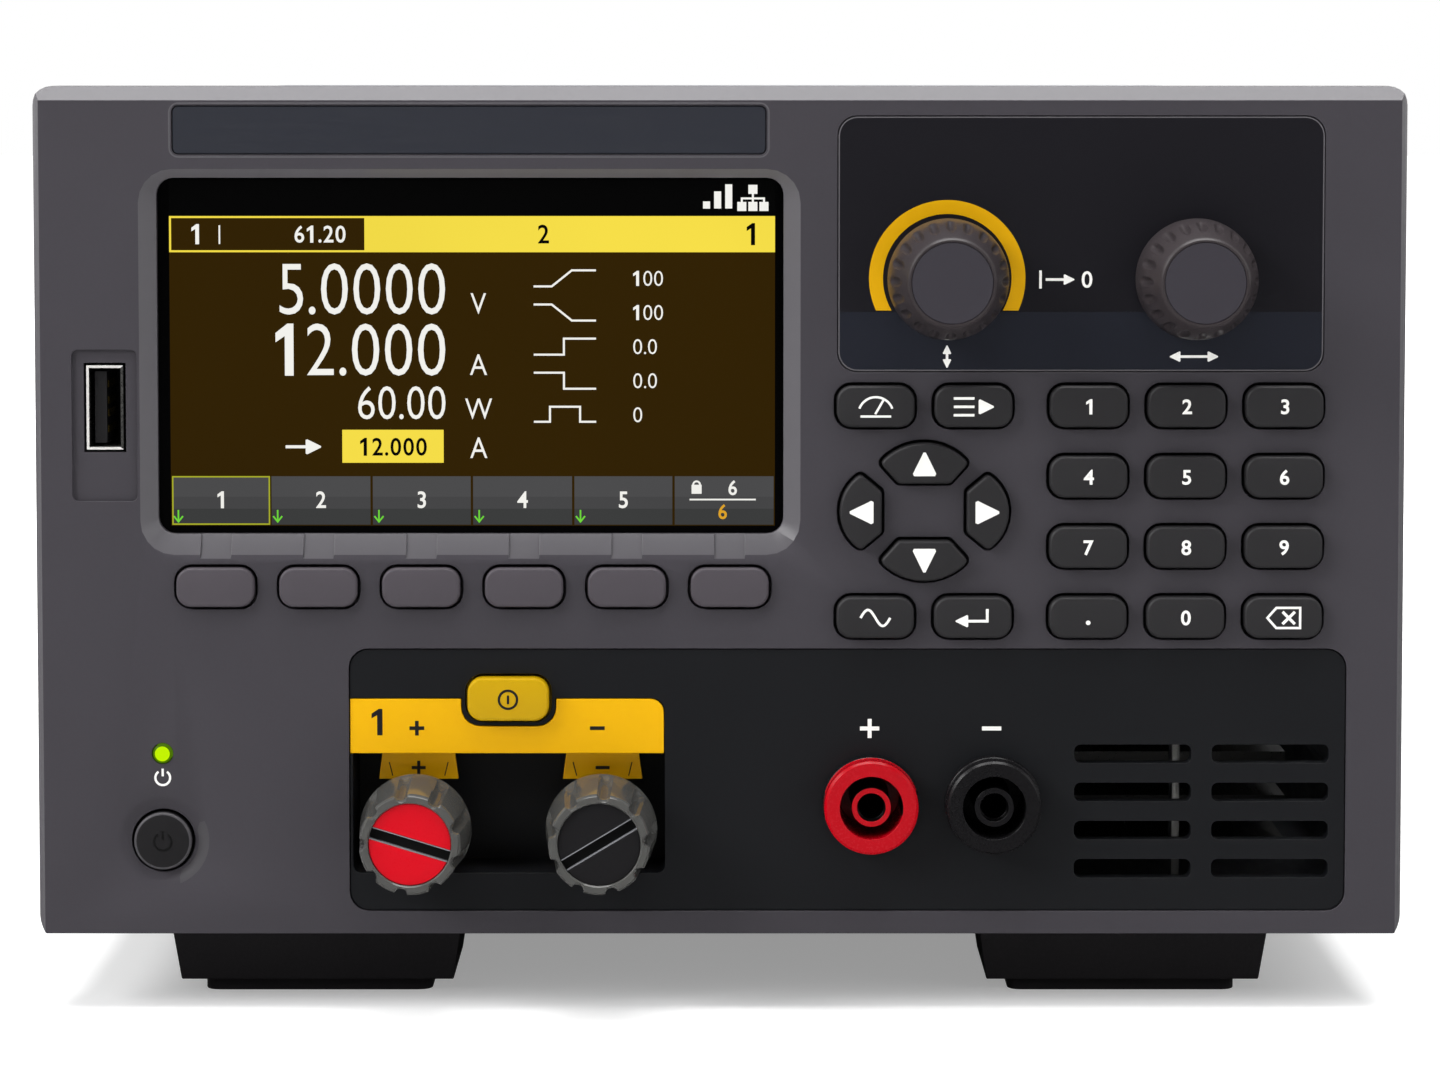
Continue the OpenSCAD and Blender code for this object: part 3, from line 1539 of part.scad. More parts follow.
// Two rows of power transistors on the heatsink's base
module power_transistors() {
    first = sink_front + 12;
    row_gap = 10;
    color("#232326")
    for (i = [0:transistors - 1], row = [0, 1])
        translate([sink_x - transistor_t, i * transistor_pitch, tray_top + sink_h / 4])
            slab(first, first + transistor_w)
                translate([0, row * (transistor_h + row_gap)])
                    square([transistor_t, transistor_h]);
}

// Front board behind the keys, and main board with its capacitors and transformer
module circuit_boards() {
    can_r = 10;
    can_h = 32;
    can_pitch = 26;
    can_x = main_left + can_r + 6;
    can_y = main_front + 60;
    coil = [44, 52, 34];
    coil_x = main_left + 8;
    coil_y = main_front + 150;
    color("#2f5d3a") {
        slab(board_d, board_back)
            difference() {
                union() {
                    translate([-board_half, board_low])
                        square([2 * board_half, board_high - board_low]);
                    translate([-board_half, leg_low])
                        square([leg_right + board_half, board_low - leg_low + 1]);
                    translate([pocket_x - load_tongue, pocket_z1 + pocket_wall + 1])
                        square([2 * load_tongue, board_low - pocket_z1 - pocket_wall]);
                }
                translate([usb_x - bezel_w, usb_z - usb_h / 2 - fit_gap])
                    square([bezel_w + usb_w / 2 + fit_gap, usb_h + 2 * fit_gap]);
                for (p = board_posts)
                    translate(p) circle(hole_r);
            }
        difference() {
            union() {
                upright(main_z, main_top)
                    translate([main_left, main_front])
                        square([main_right - main_left, main_back - main_front]);
                for (i = [0:2])
                    upright(main_top - 0.2, main_top + can_h)
                        translate([can_x, can_y + i * can_pitch])
                            circle(can_r);
                upright(main_top - 0.2, main_top + coil[2])
                    translate([coil_x, coil_y])
                        square([coil[0], coil[1]]);
            }
            for (p = standoffs)
                upright(main_z - 1, main_top + 1) translate(p) circle(hole_r);
        }
    }
}

// Copper bars from the studs, over the nuts and down on the main board
module input_busbars() {
    low = post_z - bar_w / 2;
    top = post_z + hex_w / 2 + 1.5;
    drop = main_front + 12;
    end = drop + bar_run;
    color("#b87345")
    for (side = [-1, 1])
        difference() {
            across(post_x(side) - bar_w / 2, post_x(side) + bar_w / 2)
                polygon([
                    [bar_d, low],
                    [bar_d + bar_t, low],
                    [bar_d + bar_t, top - bar_t],
                    [drop, top - bar_t],
                    [drop, main_top],
                    [end, main_top],
                    [end, main_top + bar_t],
                    [drop + bar_t, main_top + bar_t],
                    [drop + bar_t, top],
                    [bar_d, top],
                ]);
            slab(bar_d - 1, bar_d + bar_t + 1)
                translate([post_x(side), post_z])
                    circle(stud_r + fit_gap);
        }
}

for (k = KEYS)
    push_key(k);
encoder_knob(knob_x);  // vertical_knob
encoder_knob(knob_x + knob_pitch);  // horizontal_knob
encoder_rotor(knob_x);  // vertical_rotor
encoder_rotor(knob_x + knob_pitch);  // horizontal_rotor
encoder_bodies();
post_cap(-1, 17, "#d90a20");  // positive_cap
post_cap(1, -31, "#232227");  // negative_cap
post_collar(-1);  // positive_collar
post_collar(1);  // negative_collar
post_studs();
sense_jack(-1, "#d90a20");  // sense_plus_jack
sense_jack(1, "#232227");  // sense_minus_jack
front_bezel();
display_window();
lcd_module();
terminal_panel();
knob_overlay();
input_band();
usb_port();
power_light();
chassis();
cover();
rear_panel();
feet();
screws();
fan_frame();
fan_rotor();
heatsink();
power_transistors();
circuit_boards();
rear_connectors();
input_busbars();
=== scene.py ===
"""Looks of a bench DC load: keys, knobs, input posts, display and case, built around its CAD frame."""

import json
import math
from typing import NamedTuple

import bmesh
import bpy
from bpy.props import FloatProperty, FloatVectorProperty, IntProperty, PointerProperty
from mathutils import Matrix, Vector


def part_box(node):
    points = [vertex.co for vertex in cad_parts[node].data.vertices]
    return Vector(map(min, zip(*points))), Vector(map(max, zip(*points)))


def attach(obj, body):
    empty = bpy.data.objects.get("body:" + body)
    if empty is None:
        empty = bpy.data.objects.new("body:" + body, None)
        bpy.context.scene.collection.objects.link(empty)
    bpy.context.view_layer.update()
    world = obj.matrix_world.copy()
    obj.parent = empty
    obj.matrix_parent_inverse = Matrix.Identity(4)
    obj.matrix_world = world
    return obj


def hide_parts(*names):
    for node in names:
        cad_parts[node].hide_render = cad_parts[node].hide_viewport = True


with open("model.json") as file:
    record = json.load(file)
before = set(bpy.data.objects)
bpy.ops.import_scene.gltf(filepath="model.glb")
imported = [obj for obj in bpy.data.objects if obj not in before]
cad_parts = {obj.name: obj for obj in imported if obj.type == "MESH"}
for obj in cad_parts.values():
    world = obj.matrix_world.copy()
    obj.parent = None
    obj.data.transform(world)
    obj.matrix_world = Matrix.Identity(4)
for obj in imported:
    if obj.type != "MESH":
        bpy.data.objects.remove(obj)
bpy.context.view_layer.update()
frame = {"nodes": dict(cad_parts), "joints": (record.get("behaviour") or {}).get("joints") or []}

bl_info = {
    "name": "Bench DC load",
    "version": (1, 0, 0),
    "blender": (4, 5, 0),
    "location": "View3D > Sidebar > Bench load",
    "description": "Dresses the CAD frame of a bench DC load with its finishes, marks and fine shapes",
    "category": "Object",
}

MM = 0.001
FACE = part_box("front_bezel")[0].y / MM


def linear(code):
    """An sRGB hex colour as the linear colour that Blender's sockets take."""
    parts = [int(code[i : i + 2], 16) / 255 for i in (1, 3, 5)]
    return (*(p / 12.92 if p <= 0.04045 else ((p + 0.055) / 1.055) ** 2.4 for p in parts), 1.0)


def tint(label, note, code):
    """A colour that a user can change."""
    return FloatVectorProperty(
        name=label, description=note, subtype="COLOR", size=4, min=0, max=1, default=linear(code)
    )


def length(label, note, millimetres):
    """A length that a user can change."""
    return FloatProperty(name=label, description=note, unit="LENGTH", min=0, default=millimetres * MM)


class LoadColours(bpy.types.PropertyGroup):
    """Colours of the load's finishes"""

    bezel: tint("Bezel", "Moulded front bezel", "#3a373d")
    # Paler than the bezel: the colour of a painted highlight on the slopes and edges that catch the light
    slope: tint("Window frame", "Polished slopes round the window and along the edges", "#565458")
    panel: tint("Terminal panel", "Moulded panel round the terminals", "#17181b")
    film: tint("Overlay", "Printed film round the knobs", "#18171c")
    film_low: tint("Overlay strip", "Lower strip of the printed film", "#191b23")
    plate: tint("Plate", "Bare plate over the display", "#272931")
    key: tint("Keys", "Keys of the keypad", "#272628")
    soft_key: tint("Soft keys", "Keys under the display", "#464147")
    yellow_key: tint("Load key", "Key that switches the load", "#b59002")
    knob: tint("Knobs", "Grip of the knobs", "#332e30")
    knob_face: tint("Knob faces", "Discs in the knobs' faces", "#343138")
    yellow: tint("Yellow", "Band over the terminals and arc round the knob", "#e2aa00")
    red: tint("Red", "Positive terminals", "#bd0015")
    black: tint("Black", "Negative terminals", "#19181a")
    smoke: tint("Smoky sleeve", "Clear sleeves of the input posts", "#5f5f5d")
    white_ink: tint("White ink", "Printed marks", "#e6e5e1")
    cover: tint("Cover", "Powder coat of the cover and the rear panel", "#84858a")
    rubber: tint("Feet", "Rubber of the feet", "#1d1a1d")
    gold: tint("Gold", "Flash of the contacts", "#f0d060")


class LoadSizes(bpy.types.PropertyGroup):
    """Fine sizes that the CAD frame leaves to the looks"""

    edge: length("Edge radius", "Softened edges of the mouldings", 0.25)
    key_fillet: length("Key fillet", "Rounding along the top of the keys", 0.45)
    relief: length("Print relief", "How far printed marks stand proud", 0.03)
    dot: length("Display dot", "Pitch of the display's dots", 0.1563)
    dimple: length("Knob dimple", "Depth of the dimples round the knobs", 0.75)
    groove: length("Sleeve groove", "Depth of the grooves down the post sleeves", 0.85)
    dimples: IntProperty(name="Knob dimples", description="Dimples round each knob", default=20, min=3)
    lobes: IntProperty(name="Sleeve lobes", description="Lobes round each post sleeve", default=9, min=3)


def colour(name):
    """A colour property as linear red, green, blue and alpha."""
    return tuple(getattr(bpy.context.scene.load_colours, name))


def size(name):
    """A size in millimetres."""
    return getattr(bpy.context.scene.load_sizes, name) / MM


def add(tree, kind, inputs=None, **settings):
    """Adds a node. Settings are its own fields, and inputs its sockets, each a value or outputs to link."""
    made = tree.nodes.new(kind)
    for field, value in settings.items():
        setattr(made, field, value)
    for socket, value in (inputs or {}).items():
        for source in value if isinstance(value, list) else [value]:
            if isinstance(source, bpy.types.NodeSocket):
                tree.links.new(source, made.inputs[socket])
            else:
                made.inputs[socket].default_value = source
    return made


class Finish(NamedTuple):
    """One finish: the material's name, its colour property and how its surface is"""

    name: str
    shade: str
    rough: float
    grain: float = 0.3  # width of the grain in mm
    depth: float = 0.003  # depth of the grain in mm
    drift: float = 0.05  # share by which the colour drifts
    spread: float = 0.05  # how far the roughness spreads
    stretch: tuple = None  # lengthening of the grain along X, Y and Z
    lift: float = 1.0  # factor on the colour
    glare: float = 0.35  # specular level
    metal: float = 0.0
    clear: float = 0.0  # share of the light let through


FINISHES = {
    # Spark-eroded tool: an even satin grain that breaks up every highlight
    "bezel": Finish("ABS, moulded in a spark-eroded tool", "bezel", 0.52, 0.4, 0.012, spread=0.06),
    # Polished part of the same tool: glossier, and paler in colour as a painted highlight where it meets the light
    "slope": Finish("ABS, moulded against polished steel", "slope", 0.36, 0.5, 0.003, 0.04, 0.04),
    # Paler copy of the window frame's colour: a faint painted highlight that shows as a crescent on the lit side of
    # the dish beside the button, and round the button's fillet
    "dish": Finish("ABS, rubbed smooth by fingers", "slope", 0.4, 0.5, 0.003, 0.04, 0.04, lift=0.62),
    # Finer tool finish: darker, with a soft sheen along its edges
    "panel": Finish("ABS, moulded black with a fine tool finish", "panel", 0.36, 0.3, 0.006, 0.06),
    # Hard-coated film: smooth and dark, with a faint orange peel from the adhesive
    "film": Finish("Polycarbonate film, printed and hard-coated", "film", 0.3, 6.0, 0.004, 0.04, 0.02),
    # The same film over a cooler print: a blue-grey strip that mirrors a little more
    "film_low": Finish(
        "Polycarbonate film, printed blue-grey", "film_low", 0.3, 6.0, 0.004, 0.04, 0.02, lift=1.3
    ),
    # Anodised strip: a satin metal grey with short drawn lines
    "plate": Finish("Aluminium, anodised dark grey", "plate", 0.44, 0.5, spread=0.08, stretch=(12, 1, 1)),
    # Silicone rubber: no hard glints, slightly dusty
    "key": Finish("Silicone rubber, moulded dark grey", "key", 0.5, 0.25, 0.006),
    "soft_key": Finish("Silicone rubber, moulded mid grey", "soft_key", 0.5, 0.25, 0.006),
    "yellow_key": Finish("Silicone rubber, moulded yellow", "yellow_key", 0.42, 0.25, 0.005, 0.04, glare=0.12),
    # Hard cap: darker than the rubber keys, with no dust on it
    "button": Finish(
        "ABS, moulded black with a matt face", "key", 0.45, 0.25, 0.006, lift=0.62, glare=0.2
    ),
    # Thermoplastic rubber over a hard core: soft sheen round each dimple
    "knob": Finish("Thermoplastic rubber, overmoulded", "knob", 0.36, 0.3, 0.006, 0.08, 0.06, glare=0.3),
    # Hard disc in the knob: matt, with a bright line round its rim that is a painted highlight
    "knob_face": Finish("ABS, moulded with a matt face", "knob_face", 0.45, 0.25, 0.006, 0.04),
    "knob_rim_highlight": Finish("ABS, edge polished by the tool", "soft_key", 0.3, 0.5, 0.002, 0.04, lift=3.6),
    # Pad-printed and screen-printed inks: flat colour with the slight unevenness of a squeegee
    "white_ink": Finish("Epoxy ink, screen printed white", "white_ink", 0.55, 0.2, 0.002, 0.04),
    "dark_ink": Finish("Epoxy ink, screen printed black", "black", 0.5, 0.2, 0.002, 0.04),
    "grey_ink": Finish("Epoxy ink, screen printed grey", "key", 0.5, 0.2, 0.002, 0.04, lift=0.15),
    "yellow_ink": Finish(
        "Epoxy ink, screen printed yellow", "yellow", 0.5, 0.2, 0.002, 0.04, lift=0.82, glare=0.1
    ),
    # Moulded band: clean colour that takes little glare
    "yellow": Finish("ABS, moulded yellow and printed", "yellow", 0.38, 0.3, 0.004, lift=0.93, glare=0.1),
    # Polished moulding: clear colour with a crisp edge light
    "red": Finish("Nylon, moulded red", "red", 0.3, glare=0.12),
    "black": Finish("Nylon, moulded black", "black", 0.32),
    # Insulating bodies of the jacks: deeper in colour than the caps, with a wet edge light
    "jack_red": Finish("Polyamide, moulded deep red", "red", 0.26, lift=0.74, glare=0.2),
    "jack_black": Finish(
        "Polyamide, moulded deep black", "black", 0.28, 0.4, 0.001, spread=0.03, lift=0.7, glare=0.25
    ),
    # Edges of the driver slot: a pale strip on each side, a painted highlight where the edges catch the light
    "lip": Finish("Nylon, edge worn pale", "cover", 0.4, lift=0.8),
    # Inside of a bore: no light gets in, so only a dull glint shows
    "bore": Finish("Brass, plated, in the shade of a bore", "black", 0.3, 0.3, 0.002, 0.06, 0.06, lift=0.4, metal=0.5),
    # Bottom of a slot: matt, and black for want of light
    "slot": Finish("Nylon, in the shade of a slot", "black", 0.5, lift=0.2),
    # Smoky clear resin: what lies behind shows through, dimmed, with bright moulded edges
    "smoke": Finish("Polycarbonate, moulded smoky clear", "smoke", 0.12, 1.2, 0.004, spread=0.04, clear=0.42),
    # Nickel over brass: warm mirror with fine turning marks
    "nickel": Finish(
        "Brass, turned and nickel plated", "white_ink", 0.24, 0.3, 0.002, 0.06, 0.08, (1, 12, 1), 0.75, metal=1.0
    ),
    # Gold flash: a thin warm mirror
    "gold": Finish("Bronze contact, gold flashed", "gold", 0.25, 0.2, 0.001, lift=0.8, metal=1.0),
    # Deep-drawn tin-plated steel: bright with long faint draw lines
    "tin": Finish(
        "Steel sheet, drawn and tin plated", "white_ink", 0.3, 0.4, 0.002, 0.08, 0.1, (1, 10, 1), 0.62, metal=1.0
    ),
    # Sheared edge of the plated sheet: bare, bright and even
    "sheared": Finish("Steel sheet, sheared edge", "white_ink", 0.45, 0.3, 0.002, 0.06, 0.08, lift=0.8, metal=0.15),
    # Electro-galvanised sheet: dull grey with pale and dark patches
    "zinc": Finish("Steel sheet, electro-galvanised", "cover", 0.42, 3.0, 0.004, 0.2, 0.12, (1, 3, 1), metal=0.9),
    # Powder coat: even colour with a visible orange peel
    "cover": Finish("Steel sheet, powder coated grey", "cover", 0.56, 1.1, 0.02, spread=0.06, glare=0.2),
    # Passivated screws: grey metal, some screws a shade paler than others
    "screw": Finish("Steel, zinc plated and passivated", "cover", 0.34, 0.5, 0.002, 0.15, 0.1, metal=1.0),
    # Filled rubber: dead matt and nearly black
    "rubber": Finish("Nitrile rubber, moulded black", "rubber", 0.7, 0.5, 0.015, 0.1, 0.08),
    # Engineering plastics inside: black, with a dull even sheen
    "fan": Finish("PBT, moulded black", "black", 0.45, 0.3, 0.004, 0.06, 0.06),
    "epoxy": Finish("Epoxy, transfer moulded", "black", 0.55, 0.4, 0.005, 0.06, 0.06),
    "connector": Finish("Glass-filled nylon, moulded black", "black", 0.5, 0.4, 0.006, 0.06, 0.06),
    # Extruded profile: pale metal with lines along its length
    "aluminium": Finish("Aluminium, extruded", "white_ink", 0.36, 0.5, 0.004, 0.1, 0.12, (1, 30, 1), 0.6, metal=1.0),
    # Thinly tinned bar: brownish metal with sheared edges
    "copper": Finish(
        "Copper bar, sheared and tinned thin", "knob", 0.35, 0.5, 0.002, 0.12, 0.1, (1, 8, 1), 6.0, metal=1.0
    ),
    # Glass with a dark border: black and even, with its glare kept down by the coating
    "glass": Finish("Glass, coated and backed black", "black", 0.16, 6.0, 0.001, 0.1, 0.03, lift=0.08, glare=0.1),
}
DRIFT_WIDTH = 18  # mm over which a colour drifts


def blank(name):
    """A new material with an empty node tree."""
    made = bpy.data.materials.new(name)
    made.use_nodes = True
    made.node_tree.nodes.clear()
    return made, made.node_tree


def material(key):
    """The material of one finish, made once."""
    look = FINISHES[key]
    found = bpy.data.materials.get(look.name)
    if found:
        return found
    made, tree = blank(look.name)
    base = [c * look.lift for c in colour(look.shade)[:3]]
    along = add(tree, "ShaderNodeTexCoord").outputs["Object"]
    if look.stretch:
        scale = tuple(1 / s for s in look.stretch)
        along = add(tree, "ShaderNodeMapping", {"Vector": along, "Scale": scale}).outputs["Vector"]
    fine, broad = (
        add(tree, "ShaderNodeTexNoise", {"Vector": along, "Scale": 1 / (wide * MM), "Detail": detail}).outputs[0]
        for wide, detail in ((look.grain, 2.0), (DRIFT_WIDTH, 4.0))
    )
    dark, pale = ((*(min(1, c * share) for c in base), 1) for share in (1 - look.drift, 1 + look.drift))
    tone = add(tree, "ShaderNodeMix", {"Factor": broad, 6: dark, 7: pale}, data_type="RGBA")
    ends = {"To Min": look.rough - look.spread, "To Max": look.rough + look.spread}
    gloss = add(tree, "ShaderNodeMapRange", {"Value": fine, "From Min": 0.25, "From Max": 0.75, **ends})
    bump = add(tree, "ShaderNodeBump", {"Height": fine, "Strength": 0.6, "Distance": look.depth * MM})
    shader = add(
        tree,
        "ShaderNodeBsdfPrincipled",
        {
            "Base Color": tone.outputs[2],
            "Roughness": gloss.outputs[0],
            "Normal": bump.outputs[0],
            "Specular IOR Level": look.glare,
            "Metallic": look.metal,
            "Transmission Weight": look.clear,
        },
    )
    add(tree, "ShaderNodeOutputMaterial", {"Surface": shader.outputs[0]})
    return made


# Lit fields of the display and the light, which give off their own colour: name and colour
GLOWS = {
    "ground": ("Liquid crystal, dark amber field", "#302001"),
    "header": ("Liquid crystal, bright yellow field", "#f5dd47"),
    "figures": ("Liquid crystal, white figures", "#f4f3ee"),
    "tab_high": ("Liquid crystal, pale grey tab", "#4b4b4c"),
    "tab": ("Liquid crystal, grey tab", "#454546"),
    "tab_low": ("Liquid crystal, dark grey tab", "#3b3c3c"),
    "tab_line": ("Liquid crystal, yellow-green line", "#a9ad2a"),
    "green": ("Liquid crystal, green pointer", "#6fd63a"),
    "amber": ("Liquid crystal, amber figures", "#e0a528"),
    "night": ("Liquid crystal, black field", "#020202"),
    "led": ("Acrylic light pipe, lit green", "#4a7000"),
    "led_core": ("Acrylic light pipe, bright core", "#c4f400"),
}
CLOUD_WIDTH = 25  # mm over which the light of a field varies


def glow(key):
    """A lit surface under coated glass: its own light, slightly uneven, with little glare."""
    name, code = GLOWS[key]
    found = bpy.data.materials.get(name)
    if found:
        return found
    made, tree = blank(name)
    place = add(tree, "ShaderNodeTexCoord").outputs["Object"]
    cloud = add(tree, "ShaderNodeTexNoise", {"Vector": place, "Scale": 1 / (CLOUD_WIDTH * MM), "Detail": 1.0})
    level = add(tree, "ShaderNodeMapRange", {"Value": cloud.outputs[0], "To Min": 0.94, "To Max": 1.04})
    shader = add(
        tree,
        "ShaderNodeBsdfPrincipled",
        {
            "Base Color": (0.001, 0.001, 0.001, 1),
            "Roughness": 0.2,
            "Specular IOR Level": 0.04,
            "Emission Color": linear(code),
            "Emission Strength": level.outputs[0],
        },
    )
    add(tree, "ShaderNodeOutputMaterial", {"Surface": shader.outputs[0]})
    return made


def arc(x, z, radius, start, end, steps):
    """Points along an arc, in degrees."""
    turns = [math.radians(start + (end - start) * i / steps) for i in range(steps + 1)]
    return [(x + radius * math.cos(t), z + radius * math.sin(t)) for t in turns]


def turned(points, turn, x=0, z=0):
    """Points turned by degrees about the origin, then moved."""
    c, s = math.cos(math.radians(turn)), math.sin(math.radians(turn))
    return [(x + u * c - v * s, z + u * s + v * c) for u, v in points]


def pad(x, z, width, height, radius, steps=6):
    """Outline of a rectangle with round corners."""
    right, top = width / 2 - radius, height / 2 - radius
    corners = ((right, top, 0), (-right, top, 90), (-right, -top, 180), (right, -top, 270))
    return [p for cx, cz, a in corners for p in arc(x + cx, z + cz, radius, a, a + 90, steps)]


def inset(outline, amount):
    """An outline drawn in by the same amount all round."""
    count = len(outline)
    area = sum(
        outline[i - 1][0] * outline[i][1] - outline[i][0] * outline[i - 1][1] for i in range(count)
    )
    side = 1 if area > 0 else -1
    made = []
    for i in range(count):
        here = Vector(outline[i])
        before = (here - Vector(outline[i - 1])).normalized()
        after = (Vector(outline[(i + 1) % count]) - here).normalized()
        normals = [Vector((-d.y, d.x)) * side for d in (before, after)]
        middle = (normals[0] + normals[1]).normalized()
        made.append(tuple(here + middle * (amount / max(0.5, middle.dot(normals[0])))))
    return made


def ring(outline, depth):
    """An outline in X and Z set at a depth behind the bezel's face."""
    return [(x, FACE + depth, z) for x, z in outline]


def loft(rings, wrap=False):
    """A skin over rings of as many points each, closed at its ends or joined into a loop."""
    count, last = len(rings[0]), len(rings)
    spans = range(last if wrap else last - 1)
    faces = [
        [a * count + i, a * count + j, b * count + j, b * count + i]
        for a, b in ((s, (s + 1) % last) for s in spans)
        for i, j in ((k, (k + 1) % count) for k in range(count))
    ]
    if not wrap:
        faces += [list(range(count)), [(last - 1) * count + i for i in range(count)]]
    return [p for r in rings for p in r], faces


def plate(outline, front, back):
    """A flat piece between two depths."""
    return loft([ring(outline, front), ring(outline, back)])


def lathe(profile, x, z, steps=96, wrap=False, cut=None):
    """A profile of (radius, forward reach) turned about an axis. cut(turn, row, radius) deepens it."""
    rings, turns = [], [2 * math.pi * i / steps for i in range(steps)]
    for row, (radius, out) in enumerate(profile):
        radii = [max(0.0, radius - (cut(t, row, radius) if cut else 0)) for t in turns]
        rings.append([(x + r * math.cos(t), FACE - out, z + r * math.sin(t)) for t, r in zip(turns, radii)])
    return loft(rings, wrap)


DOUBLE = 1e-7  # metres within which two corners are one


def tidy(points, faces):
    """One closed shell with its doubles merged and its faces turned outwards, in metres."""
    bm = bmesh.new()
    corners = [bm.verts.new(Vector(p) * MM) for p in points]
    for f in faces:
        if len(set(f)) > 2:
            bm.faces.new([corners[i] for i in f])
    bmesh.ops.remove_doubles(bm, verts=bm.verts, dist=DOUBLE)
    bmesh.ops.dissolve_degenerate(bm, edges=bm.edges, dist=DOUBLE)
    bmesh.ops.recalc_face_normals(bm, faces=bm.faces)
    bm.verts.index_update()
    result = [v.co.copy() for v in bm.verts], [[v.index for v in f.verts] for f in bm.faces]
    bm.free()
    return result


def shade(mesh, angle):
    """Smooth shading, with a hard edge wherever faces meet at more than the angle."""
    mesh.polygons.foreach_set("use_smooth", [True] * len(mesh.polygons))
    mesh.set_sharp_from_angle(angle=math.radians(angle))


def place(name, mesh, body, slot, nodes=()):
    """Puts a finished mesh into the scene on its CAD body."""
    made = bpy.data.objects.new(name, mesh)
    bpy.context.scene.collection.objects.link(made)
    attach(made, body)
    if nodes:
        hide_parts(*nodes)
    return made


def piece(name, shells, body, slot, nodes=(), angle=32):
    """One object from shells of (points in mm, faces) with a material each."""
    mesh = bpy.data.meshes.new(name)
    points, faces, index, used = [], [], [], []
    for (corners, sides), finish in shells:
        if finish not in used:
            used.append(finish)
        corners, sides = tidy(corners, sides)
        faces += [[i + len(points) for i in f] for f in sides]
        points += corners
        index += [used.index(finish)] * len(sides)
    mesh.from_pydata(points, [], faces)
    for finish in used:
        mesh.materials.append(finish)
    mesh.polygons.foreach_set("material_index", index)
    mesh.update()
    shade(mesh, angle)
    return place(name, mesh, body, slot, nodes)


def assign(mesh, finish, rules):
    """Finishes by face. Each rule is a test of a face's middle and corners in mm, and the finish it gets."""
    mesh.materials.clear()
    for entry in [finish] + [r[1] for r in rules]:
        mesh.materials.append(entry)
    for face in mesh.polygons:
        corners = [mesh.vertices[i].co / MM for i in face.vertices]
        middle = sum(corners, Vector()) / len(corners)
        face.material_index = next((k + 1 for k, r in enumerate(rules) if r[0](middle, corners)), 0)


def coat(node, finish, rules=()):
    """Gives a CAD node its finishes."""
    assign(frame["nodes"][node].data, finish, rules)


def moulding(node, finish, slot, edge=0.0, angle=32, rules=()):
    """A merged copy of a CAD node with softened edges, which stands for it."""
    mesh = frame["nodes"][node].data.copy()
    mesh.name = node + "_moulding"
    normals = mesh.attributes.get("custom_normal")
    if normals:
        mesh.attributes.remove(normals)
    bm = bmesh.new()
    bm.from_mesh(mesh)
    bmesh.ops.remove_doubles(bm, verts=bm.verts, dist=2e-6)
    bmesh.ops.dissolve_limit(bm, angle_limit=math.radians(0.5), verts=bm.verts, edges=bm.edges)
    bm.to_mesh(mesh)
    bm.free()
    assign(mesh, finish, rules)
    shade(mesh, angle)
    made = place(node + "_moulding", mesh, "root", slot, (node,))
    if edge:
        soft = made.modifiers.new("soft edges", "BEVEL")
        soft.width, soft.segments, soft.harden_normals = edge * MM, 2, True
        soft.limit_method, soft.angle_limit = "ANGLE", math.radians(angle)
    return made


def islands(node):
    """The loose solids of a CAD node, each as its corner points in mm, from left to right."""
    bm = bmesh.new()
    bm.from_mesh(frame["nodes"][node].data)
    bmesh.ops.remove_doubles(bm, verts=bm.verts, dist=1e-6)
    left, found = set(bm.verts), []
    for start in bm.verts:
        if start not in left:
            continue
        left.discard(start)
        todo, group = [start], []
        while todo:
            corner = todo.pop()
            group.append(corner.co / MM)
            for edge in corner.link_edges:
                other = edge.other_vert(corner)
                if other in left:
                    left.discard(other)
                    todo.append(other)
        found.append(group)
    bm.free()
    return sorted(found, key=lambda g: [round(min(p[k] for p in g), 2) for k in range(3)])


def reach(points):
    """Lowest and highest corner of a list of points."""
    return [Vector([pick(p[k] for p in points) for k in range(3)]) for pick in (min, max)]


def seat(node):
    """Lowest and highest corner of a CAD node in mm, and the X and Z of its middle."""
    low, high = (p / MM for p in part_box(node))
    return low, high, (low.x + high.x) / 2, (low.z + high.z) / 2


INK = {}
# A one with a flag, in shares of the figures' height
ONE = [(0.25, 0), (0.45, 0), (0.45, 1), (0.31, 1), (0.04, 0.82), (0.04, 0.64), (0.25, 0.76)]


def glyph(letter, bold):
    """Points and faces of one letter in shares of a figure's height, standing on the line at x = 0."""
    if (letter, bold) not in INK:
        curve = bpy.data.curves.new("glyph", "FONT")
        curve.body, curve.extrude, curve.offset, curve.resolution_u = letter, 0.1, bold, 4
        pen = bpy.data.objects.new("glyph", curve)
        bpy.context.scene.collection.objects.link(pen)
        graph = bpy.context.evaluated_depsgraph_get()
        drawn = bpy.data.meshes.new_from_object(pen.evaluated_get(graph))
        points = [v.co.copy() for v in drawn.vertices]
        faces = [list(f.vertices) for f in drawn.polygons]
        bpy.data.objects.remove(pen)
        bpy.data.curves.remove(curve)
        bpy.data.meshes.remove(drawn)
        if letter == "1":
            corners = [Vector((x, y, z)) for z in (-0.1, 0.1) for x, y in ONE]
            INK[letter, bold] = corners, loft([ONE, ONE])[1]
        else:
            low, high = reach(points)
            if letter == "0":
                INK["line", bold] = low.y, high.y - low.y
            foot, tall = INK["line", bold]
            corners = [Vector(((p.x - low.x) / tall, (p.y - foot) / tall, p.z)) for p in points]
            INK[letter, bold] = corners, faces
    return INK[letter, bold]


PRINT_BACK = 0.01  # mm by which a printed mark is sunk into its surface


